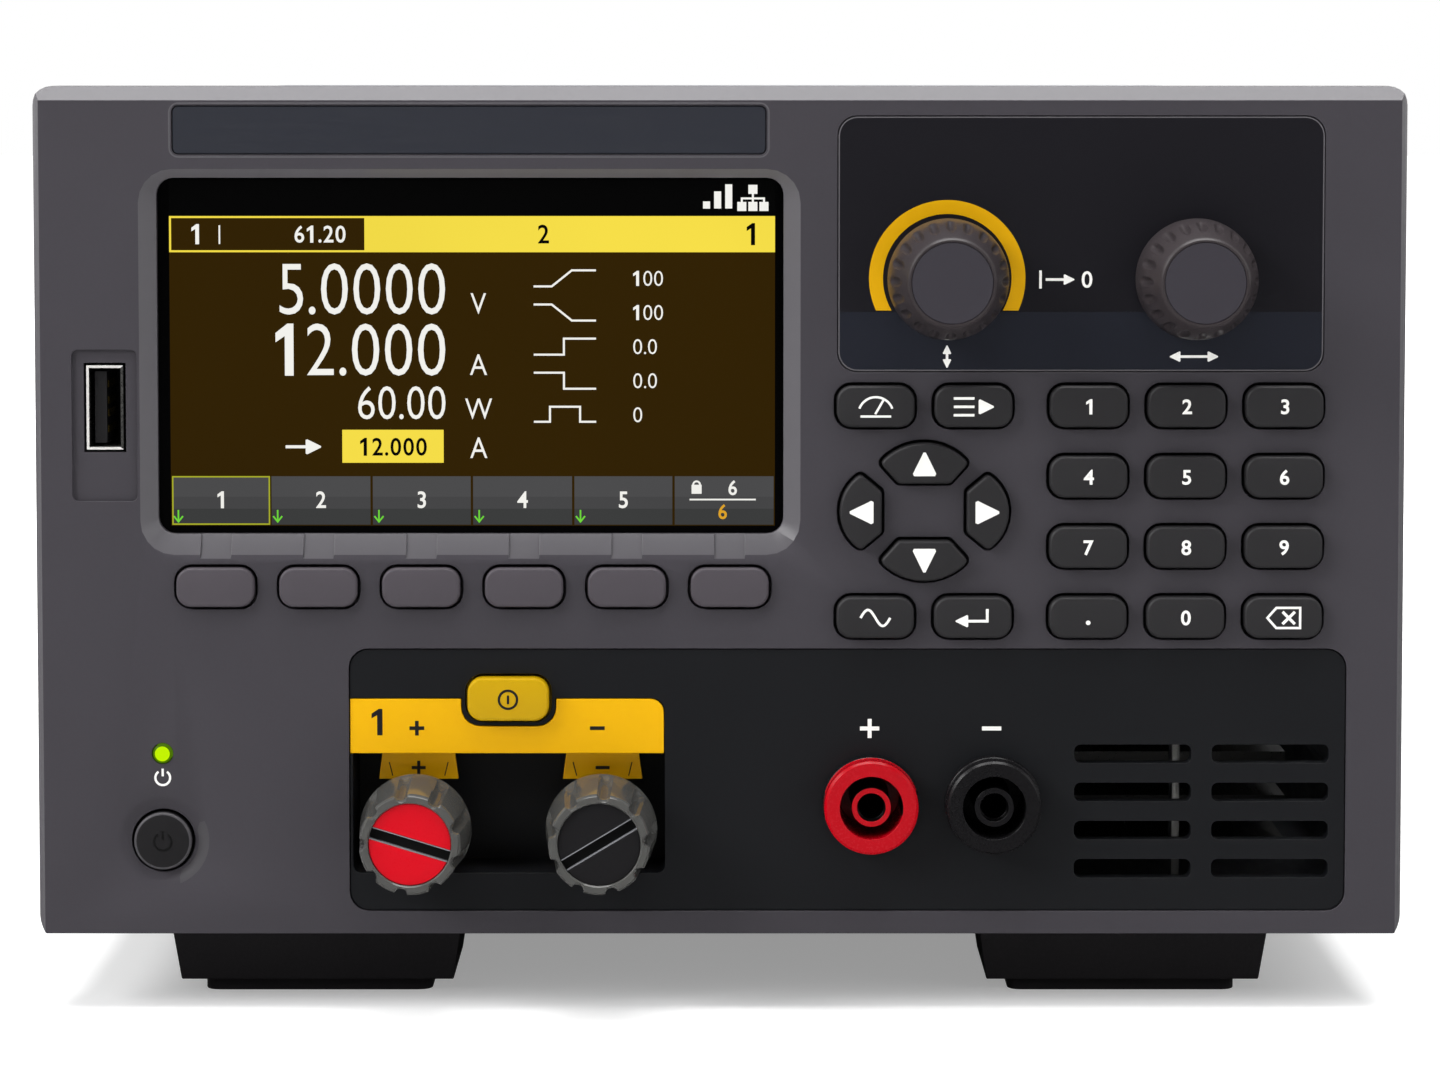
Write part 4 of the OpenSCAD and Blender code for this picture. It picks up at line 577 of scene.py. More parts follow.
def figures(text, height, x, z, depth, anchor=0.5, bold=0.0, squeeze=1.0):
    """Plain figures as a thin print whose ink is so high, set on a surface at a depth."""
    nought = reach(glyph("0", bold)[0])[1].x
    front, back = depth - size("relief"), depth + PRINT_BACK
    points, faces, pen, gap = [], [], 0.0, 0.13
    for letter in text:
        shape, sides = glyph(letter, bold)
        faces += [[i + len(points) for i in f] for f in sides]
        points += [((pen + p.x) * squeeze, p.y, front if p.z > 0 else back) for p in shape]
        pen += (nought if letter == "1" else reach(shape)[1].x) + gap
    ink = reach([Vector(p) for p in points])
    start = ink[0].x + (ink[1].x - ink[0].x) * anchor
    return [(x + (p[0] - start) * height, FACE + p[2], z + (p[1] - 0.5) * height) for p in points], faces


def bar(x0, z0, x1, z1, width):
    """Outline of a straight stroke."""
    along = Vector((x1 - x0, z1 - z0)).normalized() * (width / 2)
    side = Vector((-along.y, along.x))
    ends = Vector((x0, z0)) - along, Vector((x1, z1)) + along
    return [tuple(p) for p in (ends[0] - side, ends[1] - side, ends[1] + side, ends[0] + side)]


def bars(width, *ends):
    """Straight strokes of one width."""
    return [bar(*e, width) for e in ends]


def bow(x, z, radius, width, start, end, steps=24):
    """Outline of a stroke along an arc."""
    return arc(x, z, radius + width / 2, start, end, steps) + arc(x, z, radius - width / 2, end, start, steps)


def printed(outlines, depth):
    """Flat marks on a surface at a depth."""
    return [plate(o, depth - size("relief"), depth + PRINT_BACK) for o in outlines]


def standby(x, z, radius, width):
    """Standby pictogram: an open ring with a bar."""
    return [bow(x, z, radius, width, 125, 415), bar(x, z + radius * 0.35, x, z + radius * 1.1, width)]


def plus(x, z, span, width, turn=0):
    """A cross in one outline, turned by degrees."""
    long, thin = span / 2, width / 2
    arm = [(thin, thin), (thin, long), (-thin, long)]
    return [[p for k in range(4) for p in turned(arm, turn + 90 * k, x, z)]]


def minus(x, z, span, width):
    """A short bar as long as a plus is wide."""
    half = (span - width) / 2
    return [bar(x - half, z, x + half, z, width)]


def stroke(points, width):
    """Outline of a bent stroke through points."""
    last, sides = len(points) - 1, ([], [])
    for i, here in enumerate(points):
        here = Vector(here)
        ways = [Vector(points[k + 1]) - Vector(points[k]) for k in (max(0, i - 1), min(i, last - 1))]
        normals = [Vector((-w.y, w.x)).normalized() for w in ways]
        middle = (normals[0] + normals[1]).normalized()
        out = middle * (width / 2 / max(0.4, middle.dot(normals[0])))
        sides[0].append(tuple(here + out))
        sides[1].append(tuple(here - out))
    return sides[0] + sides[1][::-1]


def hoop(outline, width, depth):
    """A printed line that runs round inside an outline."""
    inner, front, back = inset(outline, width), depth - size("relief"), depth + PRINT_BACK
    edges = (outline, front), (outline, back), (inner, back), (inner, front)
    return loft([ring(*e) for e in edges], wrap=True)


def arrowhead(x, z, span, turn):
    """A triangle with slightly blunted corners, pointing along a direction in degrees."""
    corners = [Vector((0.62, 0)), Vector((-0.5, 0.55)), Vector((-0.5, -0.55))]
    blunt = [corners[i].lerp(corners[(i + step) % 3], 0.09) * span for i in range(3) for step in (-1, 1)]
    return turned(blunt, turn, x, z)


def paper(name, level, seen):
    """White paper that keeps the object's shadow, and shows as white in the picture and in reflections."""
    made, tree = blank(name)
    path = add(tree, "ShaderNodeLightPath").outputs
    view = add(
        tree, "ShaderNodeMath", {0: path["Is Camera Ray"], 1: path["Is Transmission Ray"]}, operation="MAXIMUM"
    )
    spot = add(tree, "ShaderNodeTexCoord").outputs["Object"]
    spread = add(tree, "ShaderNodeVectorMath", {0: spot}, operation="LENGTH").outputs["Value"]
    ends = {"From Min": 0.35, "From Max": 1.2, "To Min": seen, "To Max": 1.0}
    far = add(tree, "ShaderNodeMapRange", {"Value": spread, **ends})
    strength = add(tree, "ShaderNodeMath", {0: view.outputs[0], 1: far.outputs[0]}, operation="MULTIPLY")
    # The floor in front is dim in reflections, as if black card lay there
    shades = {6: (level, level, level, 1), 7: (0.05, 0.05, 0.05, 1)}
    tone = add(tree, "ShaderNodeMix", {"Factor": path["Is Glossy Ray"], **shades}, data_type="RGBA")
    shader = add(
        tree,
        "ShaderNodeBsdfPrincipled",
        {
            "Base Color": tone.outputs[2],
            "Roughness": 0.9,
            "Specular IOR Level": 0.0,
            "Emission Color": (1, 1, 1, 1),
            "Emission Strength": strength.outputs[0],
        },
    )
    add(tree, "ShaderNodeOutputMaterial", {"Surface": shader.outputs[0]})
    return made


def studio():
    """A dim room behind the camera and a white backdrop beyond the object, white to the camera."""
    world = bpy.data.worlds.new("studio")
    world.use_nodes = True
    tree = world.node_tree
    tree.nodes.clear()
    path = add(tree, "ShaderNodeLightPath").outputs
    way = add(tree, "ShaderNodeSeparateXYZ", {0: add(tree, "ShaderNodeTexCoord").outputs["Generated"]})
    ends = {"From Min": -0.35, "From Max": 0.35, "To Min": 0.06, "To Max": 1.0}
    backdrop = add(tree, "ShaderNodeMapRange", {"Value": way.outputs["Y"], **ends}).outputs[0]
    mirrored = add(
        tree, "ShaderNodeMath", {0: path["Is Glossy Ray"], 1: path["Is Transmission Ray"]}, operation="MAXIMUM"
    ).outputs[0]
    level = add(tree, "ShaderNodeMix", {"Factor": mirrored, 2: 0.31, 3: backdrop}, data_type="FLOAT").outputs[0]
    seen = {"Factor": path["Is Camera Ray"], 2: level, 3: 1.0}
    white = add(tree, "ShaderNodeMix", seen, data_type="FLOAT")
    sky = add(tree, "ShaderNodeBackground", {"Color": (1, 1, 1, 1), "Strength": white.outputs[0]})
    add(tree, "ShaderNodeOutputWorld", {"Surface": sky.outputs[0]})
    return world


def lamp(name, spot, aim, wide, high, power):
    """A soft box."""
    data = bpy.data.lights.new(name, "AREA")
    data.shape, data.size, data.size_y, data.energy = "RECTANGLE", wide, high, power
    made = bpy.data.objects.new(name, data)
    made.location = spot
    made.rotation_euler = (Vector(aim) - Vector(spot)).to_track_quat("-Z", "Y").to_euler()
    bpy.context.scene.collection.objects.link(made)


FLOOR_HALF = 6.0  # metres from the middle of the floor to its sides
CAMERA_AWAY, CAMERA_HIGH = 655, 0.148  # mm in front of the bezel, and metres over the floor


class LOAD_OT_stage(bpy.types.Operator):
    """Floor, soft light and the camera"""

    bl_idname = "bench_load.stage"
    bl_label = "Stage"

    def execute(self, context):
        scene = context.scene
        scene.view_settings.view_transform = "Standard"
        mesh = bpy.data.meshes.new("floor")
        sides = ((-1, -1), (1, -1), (1, 1), (-1, 1))
        mesh.from_pydata([(FLOOR_HALF * x, FLOOR_HALF * y, 0) for x, y in sides], [], [(0, 1, 2, 3)])
        mesh.materials.append(paper("White paper, matt", 0.86, 0.3))
        floor = bpy.data.objects.new("floor", mesh)
        scene.collection.objects.link(floor)

        scene.world = studio()
        aim = (0, FACE * MM, 0.075)
        lamp("key box", (-1.5, -1.0, 1.1), aim, 1.1, 0.9, 31)
        lamp("fill box", (1.6, -1.0, 0.8), aim, 1.1, 1.1, 8)
        lamp("top box", (0.0, -0.3, 1.7), (0, -0.1, 0.1), 1.4, 1.2, 38)
        lamp("rear box", (0.6, 1.5, 1.1), (0, 0.15, 0.08), 1.2, 1.0, 12)

        data = bpy.data.cameras.new("camera")
        data.lens = 106.0
        data.shift_y = -0.1557
        camera = bpy.data.objects.new("camera", data)
        camera.location = (0.0, (FACE - CAMERA_AWAY) * MM, CAMERA_HIGH)
        camera.rotation_euler = (math.radians(86.6), 0, 0)
        scene.collection.objects.link(camera)
        scene.camera = camera
        return {"FINISHED"}


class LOAD_OT_case(bpy.types.Operator):
    """Cover, tray, rear panel and feet"""

    bl_idname = "bench_load.case"
    bl_label = "Case"

    def execute(self, context):
        for node in ("cover", "rear_panel"):
            moulding(node, material("cover"), "painted_sheet", angle=25)
        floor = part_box("chassis")[0].z / MM

        def pillar(p, corners):
            return 73 < p.x < 76 and p.z > floor + 2 and p.y < FACE + 60

        coat("chassis", material("zinc"), [(pillar, material("sheared"))])
        moulding("feet", material("rubber"), "foot_rubber", edge=0.7, angle=25)
        return {"FINISHED"}


def dome(radius, foot, rise):
    """Profile of a dome from its edge to its middle."""
    turns = [math.radians(a) for a in range(0, 91, 10)]
    return [(radius * math.cos(a), foot + rise * math.sin(a)) for a in turns]


# Faces of the dish round the standby button that may get the faint painted highlight: their reach from its axis and
# their depths, in mm
DISH_REACH, DISH_DEPTHS = 7.3, (0.02, 0.62)


class LOAD_OT_bezel(bpy.types.Operator):
    """Front bezel, the bare plate in its recess and the standby light"""

    bl_idname = "bench_load.bezel"
    bl_label = "Bezel"

    def execute(self, context):
        x, z, wide, high, corner = -38.75, 137.8, 91.6, 7.3, 0.9
        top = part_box("front_bezel")[1].z / MM
        button = sum(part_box("power_button"), Vector()) / 2 / MM

        # Slopes round the window and the bevels along the top and sides catch the light, so they get the paler colour
        # of a painted highlight
        def sloping(p, corners):
            depths = [q.y - FACE for q in corners]
            leaning = min(depths) < 0.1 < 0.9 < max(depths) < 2.6
            round_window = abs(p.x - x) < 51.4 and 71.5 < p.z < 132
            return leaning and (round_window or p.z > top - 1.6 or abs(p.x) > 105.4)

        # The dish's lower right side faces the key light: it gets a paler colour as a painted highlight
        def dished(p, corners):
            out = p - button
            lit_side = out.x * 0.94 - out.z * 0.34 > 4.6
            near = math.hypot(out.x, out.z) < DISH_REACH
            return lit_side and near and DISH_DEPTHS[0] < p.y - FACE < DISH_DEPTHS[1]

        rules = [(sloping, material("slope")), (dished, material("dish"))]
        moulding("front_bezel", material("bezel"), "bezel_plastic", edge=size("edge"), rules=rules)
        outline = pad(x, z, wide, high, corner)
        slab = loft([ring(outline, 0.6), ring(outline, 0.22), ring(inset(outline, 0.12), 0.1)])
        # A pale line round the plate's recess: a painted highlight where its edge catches the light
        rim = hoop(inset(outline, -0.62), 0.22, 0.0)
        piece("bare_plate", [(slab, material("plate")), (rim, material("slope"))], "root", "overlay_film")

        low, high, x, z = seat("power_light")
        back, radius, core = FACE - high.y, 1.5, 1.16
        pipe = [(0, back), (radius, back), (radius, -0.2)] + dome(radius, 0, 0.5)
        bright = [(0, 0.1), (core, 0.1)] + dome(core, 0.32, 0.22)
        shells = [(lathe(p, x, z, 48), glow(key)) for p, key in ((pipe, "led"), (bright, "led_core"))]
        piece("standby_light", shells, "root", "light_pipe", ("power_light",))
        marks = printed(standby(x, 37.0, 1.15, 0.34), 0.0)
        piece("standby_mark", [(m, material("white_ink")) for m in marks], "root", "bezel_plastic")
        return {"FINISHED"}


def arrow_outline(x, z, wide, high, root, corner, turn):
    """An arrow key: arched outside, tips at mid height, short straight inner edge."""
    radius = (wide * wide + high * high) / (4 * high)
    half = math.degrees(math.asin(wide / 2 / radius))
    shape = arc(0, high / 2 - radius, radius, 90 - half, 90 + half, 16)
    shape += [(-root / 2, -high / 2), (root / 2, -high / 2)]
    rounded = []
    for i, here in enumerate(shape):
        here, before, after = Vector(here), Vector(shape[i - 1]), Vector(shape[(i + 1) % len(shape)])
        bend = (here - before).angle(after - here)
        if bend < math.radians(20):
            rounded.append(tuple(here))
            continue
        ends = [here + (p - here).normalized() * (corner * math.tan(bend / 2)) for p in (before, after)]
        for t in (k / 5 for k in range(6)):
            rounded.append(tuple(ends[0] * (1 - t) ** 2 + here * 2 * t * (1 - t) + ends[1] * t**2))
    return turned(rounded, turn, x, z)


ARROWS = {"arrow_up": 0, "arrow_left": 90, "arrow_down": 180, "arrow_right": 270}
# Arrow keys that lie along X and along Z: width over the tips and length of the inner edge, in mm
ARROW_LYING, ARROW_STANDING = (13.7, 8.0), (11.8, 6.4)
# Flange behind each key: its lap and its two depths, and the radius of the stem, in mm
FLANGE_LAP, FLANGE, STEM_R = 0.75, (3.1, 4.1), 1.5
KEY_COUNT = 28


def key_marks(name, x, z, top):
    """The mark on one key: figures, an arrow or a pictogram."""
    last = name.split("_")[-1]
    if last.isdigit() and not name.startswith("soft"):
        return [figures(last, 2.35, x, z, top, bold=0.02)]
    if name in ARROWS:
        turn = ARROWS[name] + 90
        return printed([arrowhead(*turned([(-0.15, 0)], turn, x, z)[0], 3.6, turn)], top)
    if name == "key_clear":
        left, tip, right, high = x - 2.75, x - 1.2, x + 2.75, 1.75
        corners = [(left, z), (tip, z + high), (right, z + high), (right, z - high), (tip, z - high)]
        return [hoop(corners, 0.36, top)] + printed(plus(x + 0.8, z, 2.7, 0.44, 45), top)
    if name == "load_key":
        return [hoop(arc(x, z, 1.6, 0, 352.5, 47), 0.38, top)] + printed([bar(x, z - 0.5, x, z + 0.5, 0.36)], top)
    marks = []
    if name == "key_point":
        marks = [arc(x, z - 0.75, 0.36, 0, 337.5, 15)]
    elif name == "meter_key":
        lines = (x, z - 1.0, x + 1.1, z + 0.9), (x - 2.2, z - 1.5, x + 2.2, z - 1.5)
        marks = [bow(x, z - 1.2, 2.7, 0.34, 20, 160)] + [bar(*ends, 0.34) for ends in lines]
    elif name == "list_key":
        marks = [bar(x - 2.9, z + d, x - 0.1, z + d, 0.4) for d in (1.3, 0, -1.3)]
        marks.append(arrowhead(x + 1.9, z, 2.3, 0))
    elif name == "scope_key":
        steps = [k / 24 for k in range(25)]
        marks = [stroke([(x + 4.6 * (t - 0.5), z + 1.25 * math.sin(2 * math.pi * t)) for t in steps], 0.38)]
    elif name == "enter_key":
        marks = [stroke([(x + 2.2, z + 1.4), (x + 2.2, z - 0.5), (x - 0.75, z - 0.5)], 0.42)]
        marks.append(arrowhead(x - 1.7, z - 0.5, 1.9, 180))
    elif name == "power_button":
        marks = standby(x, z - 0.1, 1.35, 0.34)
    return printed(marks, top)


class LOAD_OT_keys(bpy.types.Operator):
    """Moulded keys with their printed marks"""

    bl_idname = "bench_load.keys"
    bl_label = "Keys"

    def execute(self, context):
        presses = [j["child"] for j in frame["joints"] if j["name"].endswith("_press")]
        names = [name for name in presses if "knob" not in name]
        if len(names) != KEY_COUNT:
            raise RuntimeError(f"the frame has {len(names)} keys, and {KEY_COUNT} are drawn")
        kinds = {"load_key": "yellow_key", "power_button": "button"}
        slots = {"soft_key": "softkey_plastic", "yellow_key": "yellow_key"}
        inks = {"load_key": "dark_ink", "power_button": "grey_ink"}
        for name in names:
            low, high, x, z = seat(name)
            top, end = low.y - FACE, high.y - FACE
            wide, tall = high.x - low.x - 2 * FLANGE_LAP, high.z - low.z - 2 * FLANGE_LAP
            if name in ARROWS:
                lying = ARROWS[name] % 180 == 0
                span, root = ARROW_LYING if lying else ARROW_STANDING
                outline = arrow_outline(x, z, span, tall if lying else wide, root, 0.9, ARROWS[name])
            elif name == "power_button":
                outline = arc(x, z, wide / 2, 0, 357.5, 143)
            else:
                outline = pad(x, z, wide, tall, 2.3, 8)
            fillet = min(size("key_fillet"), -top * 0.8)
            flange = inset(outline, -FLANGE_LAP)
            spokes = [math.atan2(v - z, u - x) for u, v in outline]
            stem = [(x + STEM_R * math.cos(a), z + STEM_R * math.sin(a)) for a in spokes]
            rings = [ring(stem, end), ring(stem, FLANGE[1]), ring(flange, FLANGE[1]), ring(flange, FLANGE[0])]
            rings += [ring(outline, FLANGE[0]), ring(outline, top + fillet)]
            for a in (math.radians(18 * k) for k in range(1, 6)):
                rings.append(ring(inset(outline, fillet * (1 - math.cos(a))), top + fillet * (1 - math.sin(a))))
            kind = "soft_key" if name.startswith("soft") else kinds.get(name, "key")
            slot = slots.get(kind, "key_plastic")
            cap = piece(name + "_cap", [(loft(rings), material(kind))], name, slot, (name,))
            # The button's fillet gets a paler colour: a painted highlight round the edge of its face
            if kind == "button":

                def fillet_face(p, corners):
                    return top + 0.005 < p.y - FACE < top + fillet

                assign(cap.data, material(kind), [(fillet_face, material("dish"))])
            marks = key_marks(name, x, z, top)
            if marks:
                ink = material(inks.get(name, "white_ink"))
                piece(name + "_mark", [(m, ink) for m in marks], name, slot)
        return {"FINISHED"}


# Knobs, in mm: gap behind, radii of rim, face and bore, reach of the bore, and the stem with its flat
KNOB_LIFT, KNOB_RIM_R, KNOB_FACE_R, KNOB_BORE_R, KNOB_BORE_TOP = 1.2, 7.0, 6.5, 4.3, 5.2
KNOB_STEM_R, KNOB_FLAT = 2.95, 2.15


class LOAD_OT_knobs(bpy.types.Operator):
    """Encoder knobs, with the dimples round their grips and the discs in their faces"""

    bl_idname = "bench_load.knobs"
    bl_label = "Knobs"

    def execute(self, context):
        count, deep, rows = context.scene.load_sizes.dimples, size("dimple"), 28
        lift, rim, face, bore, bore_top = KNOB_LIFT, KNOB_RIM_R, KNOB_FACE_R, KNOB_BORE_R, KNOB_BORE_TOP
        for name in ("vertical_knob", "horizontal_knob"):
            low, high, x, z = seat(name)
            tip, base = FACE - low.y, (high.x - low.x) / 2
            skirt, shoulder, skirt_r = 3.2, tip - 0.7, 9.4
            flank = []
            for t in (k / rows for k in range(rows + 1)):
                swell = 0.5 * math.sin(math.pi * t) - 0.01
                flank.append((skirt_r + (rim - skirt_r) * t + swell, skirt + (shoulder - skirt) * t))
            back = [(0, bore_top), (bore, bore_top), (bore, lift + 0.3), (bore + 0.3, lift)]
            back += [(base - 0.45, lift), (base - 0.1, lift + 0.35)]
            front = [(rim - 0.12, shoulder + 0.35), (rim - 0.32, tip - 0.12), (face + 0.05, tip)]
            front += [(face - 0.25, tip), (face - 0.3, tip - 0.2), (0, tip - 0.2)]
            first = len(back)

            def scoop(turn, row, radius):
                t = (row - first) / rows
                phase = (turn * count / (2 * math.pi) + 0.5) % 1 - 0.5
                across = phase * 2 * math.pi * radius / count / 0.75
                along = (t - 0.56) / 0.27
                return deep * max(0.0, 1 - across * across - along * along)

            turns = [2 * math.pi * i / 48 for i in range(48)]
            stem = [(x + KNOB_STEM_R * math.cos(a), z + min(KNOB_STEM_R * math.sin(a), KNOB_FLAT)) for a in turns]
            grip = lathe(back + flank + front, x, z, count * 14, cut=scoop)
            rod = loft([ring(stem, -bore_top - 0.3), ring(stem, high.y - FACE)])
            shells = [(shell, material("knob")) for shell in (grip, rod)]
            piece(name + "_grip", shells, name, "knob_plastic", (name,), angle=40)
            edge = face - 0.32
            disc = [(0, tip - 0.4), (edge, tip - 0.4), (edge, tip - 0.14), (edge - 0.1, tip - 0.04), (0, tip - 0.04)]
            turns = [math.pi * i / 4 for i in range(8)]
            # A pale bead round the face: a painted highlight where the rim catches the light
            bead = [(face - 0.1 + 0.14 * math.cos(a), tip - 0.12 + 0.11 * math.sin(a)) for a in turns]
            shells = [(lathe(disc, x, z), material("knob_face"))]
            shells.append((lathe(bead, x, z, wrap=True), material("knob_rim_highlight")))
            piece(name + "_face", shells, name, "knob_plastic")
        for node in ("vertical_rotor", "horizontal_rotor"):
            coat(node, material("white_ink"))
        coat("encoder_bodies", material("zinc"))
        return {"FINISHED"}


# Posts, in mm: gap behind, radii of the sleeve's foot and front, and of the core's disc, bore and neck
POST_LIFT, POST_BASE_R, POST_FRONT_R, POST_DISC_R = 0.8, 8.7, 7.75, 6.3
POST_BORE_R, POST_NECK_R, POST_BORE_TOP = 4.1, 6.2, 10.9
# The lip is a pale strip along each side of the slot: a painted highlight
SLOT_WIDE, LIP_HIGHLIGHT_WIDE = 1.9, 0.16  # driver slot and the lip along each side of it, in mm


class LOAD_OT_posts(bpy.types.Operator):
    """Screw-down input posts: coloured core with a driver slot in a smoky clear sleeve"""

    bl_idname = "bench_load.posts"
    bl_label = "Input posts"

    def execute(self, context):
        lobes, deep, rows = context.scene.load_sizes.lobes, size("groove"), 24
        lift, base, front, disc = POST_LIFT, POST_BASE_R, POST_FRONT_R, POST_DISC_R
        for name, tone, slant in (("positive_cap", "red", -17), ("negative_cap", "black", 31)):
            low, high, x, z = seat(name)
            tip = FACE - low.y
            foot = [(disc + 0.04, lift), (base - 0.3, lift)]
            outside = []
            for t in (k / rows for k in range(rows + 1)):
                outside.append((base + (front - base) * t, lift + 0.35 + (tip - lift - 0.75) * t))
            mouth = [(front - 0.35, tip), (disc + 0.25, tip), (disc + 0.04, tip - 0.25)]
            first = len(foot)

            def flute(turn, row, radius):
                t = (row - first) / rows
                if t < 0.06 or radius < disc + 0.6:
                    return 0.0
                phase = ((turn + slant * 0.02) * lobes / (2 * math.pi) + 0.5) % 1 - 0.5
                across = abs(phase) * 2 * math.pi * radius / lobes
                run = min(1.0, (t - 0.06) / 0.12)
                notch = max(0.0, 1 - (across / 0.95) ** 2) ** 0.5
                return deep * notch * run**0.5

            sleeve = lathe(foot + outside + mouth, x, z, lobes * 26, wrap=True, cut=flute)
            piece(name + "_sleeve", [(sleeve, material("smoke"))], name, "black_plastic", angle=38)

            end, top, floor = FACE - high.y, tip - 0.5, tip - 1.4
            body = [(POST_BORE_R, end), (POST_NECK_R, end), (POST_NECK_R, lift), (disc, lift)]
            body += [(disc, floor - 0.02), (0, floor - 0.02), (0, POST_BORE_TOP), (POST_BORE_R, POST_BORE_TOP)]
            shells = [(lathe(body, x, z, wrap=True), material("slot"))]
            start = math.degrees(math.asin(SLOT_WIDE / 2 / disc))
            for side, angles in ((1, (start, 180 - start)), (-1, (180 + start, 360 - start))):
                outline = turned(arc(0, 0, disc, *angles, 40), slant, x, z)
                rings = [ring(outline, -floor + 0.05), ring(outline, -top + 0.12), ring(inset(outline, 0.1), -top)]
                shells.append((loft(rings), material(tone)))
                # A pale strip along each side of the slot: a painted highlight on the slot's edges
                way = Vector(turned([(0, -LIP_HIGHLIGHT_WIDE * side)], slant)[0])
                lip = [outline[0], outline[-1]]
                lip += [tuple(Vector(p) + way) for p in lip[::-1]]
                shells.append((plate(lip, -top + 0.02, -floor), material("lip")))
            piece(name + "_core", shells, name, tone + "_plastic", (name,))
        for node in ("positive_collar", "negative_collar", "post_studs"):
            coat(node, material("nickel"))
        coat("input_busbars", material("copper"))
        return {"FINISHED"}


class LOAD_OT_jacks(bpy.types.Operator):
    """Sense jacks: shrouded sockets in insulating bodies"""

    bl_idname = "bench_load.jacks"
    bl_label = "Sense jacks"

    def execute(self, context):
        for name, tone in (("sense_plus_jack", "red"), ("sense_minus_jack", "black")):
            low, _, x, z = seat(name)
            axis, step = Vector((x, z)), FACE - (FACE - low.y) / 3 - 0.1

            def radii(corners):
                return [(Vector((p.x, p.z)) - axis).length for p in corners]

            def bore(middle, corners):
                return max(radii(corners)) < 2.3

            def collar(middle, corners):
                return middle.y > step and min(radii(corners)) > 5.5

            def well(middle, corners):
                return max(radii(corners)) < 4.9 and max(p.y for p in corners) > low.y + 2

            rules = [(bore, material("bore")), (well, material("slot")), (collar, material("jack_black"))]
            moulding(name, material("jack_" + tone), tone + "_plastic", edge=0.3, rules=rules)
        return {"FINISHED"}


# Depths behind the bezel's face, in mm, of the band and panel that carry marks, and of the tongues
PANEL_FACE, TONGUE_FACE = 0.25, 6.0


class LOAD_OT_terminals(bpy.types.Operator):
    """Terminal panel, the yellow band with its tongues, their marks and painted shade along the tongues' folds"""

    bl_idname = "bench_load.terminals"
    bl_label = "Terminal panel"

    def execute(self, context):
        moulding("terminal_panel", material("panel"), "panel_plastic", edge=size("edge"))
        moulding("input_band", material("yellow"), "yellow_plastic", edge=0.12)
        dark = [figures("1", 4.15, -53.4, 45.7, PANEL_FACE, bold=0.015)]
        dark += printed(plus(-47.2, 44.75, 2.3, 0.58) + minus(-19.1, 44.75, 2.3, 0.58), PANEL_FACE)
        posts = [seat(node)[2] for node in ("positive_cap", "negative_cap")]
        dark += printed(plus(posts[0], 37.6, 2.2, 0.5) + minus(posts[1], 37.6, 2.2, 0.5), TONGUE_FACE)
        # Thin dark lines where the tongues fold back: painted shade, not print
        fold_shade_lines = [bar(x + s * 4.6, 38.4, x + s * 4.1, 36.4, 0.16) for x in posts for s in (1, -1)]
        dark += printed(fold_shade_lines, TONGUE_FACE)
        piece("band_marks", [(m, material("dark_ink")) for m in dark], "root", "yellow_plastic")
        light = printed(plus(23.3, 44.7, 3.0, 0.62) + minus(42.3, 44.7, 3.0, 0.62), PANEL_FACE)
        piece("sense_marks", [(m, material("white_ink")) for m in light], "root", "panel_plastic")
        return {"FINISHED"}


# Overlay, in mm: where the strip begins, its corners, and the radii of the arc round the vertical knob
STRIP_TOP, OVERLAY_CORNER, ARC_R = 109.9, 3.0, (9.95, 12.1)


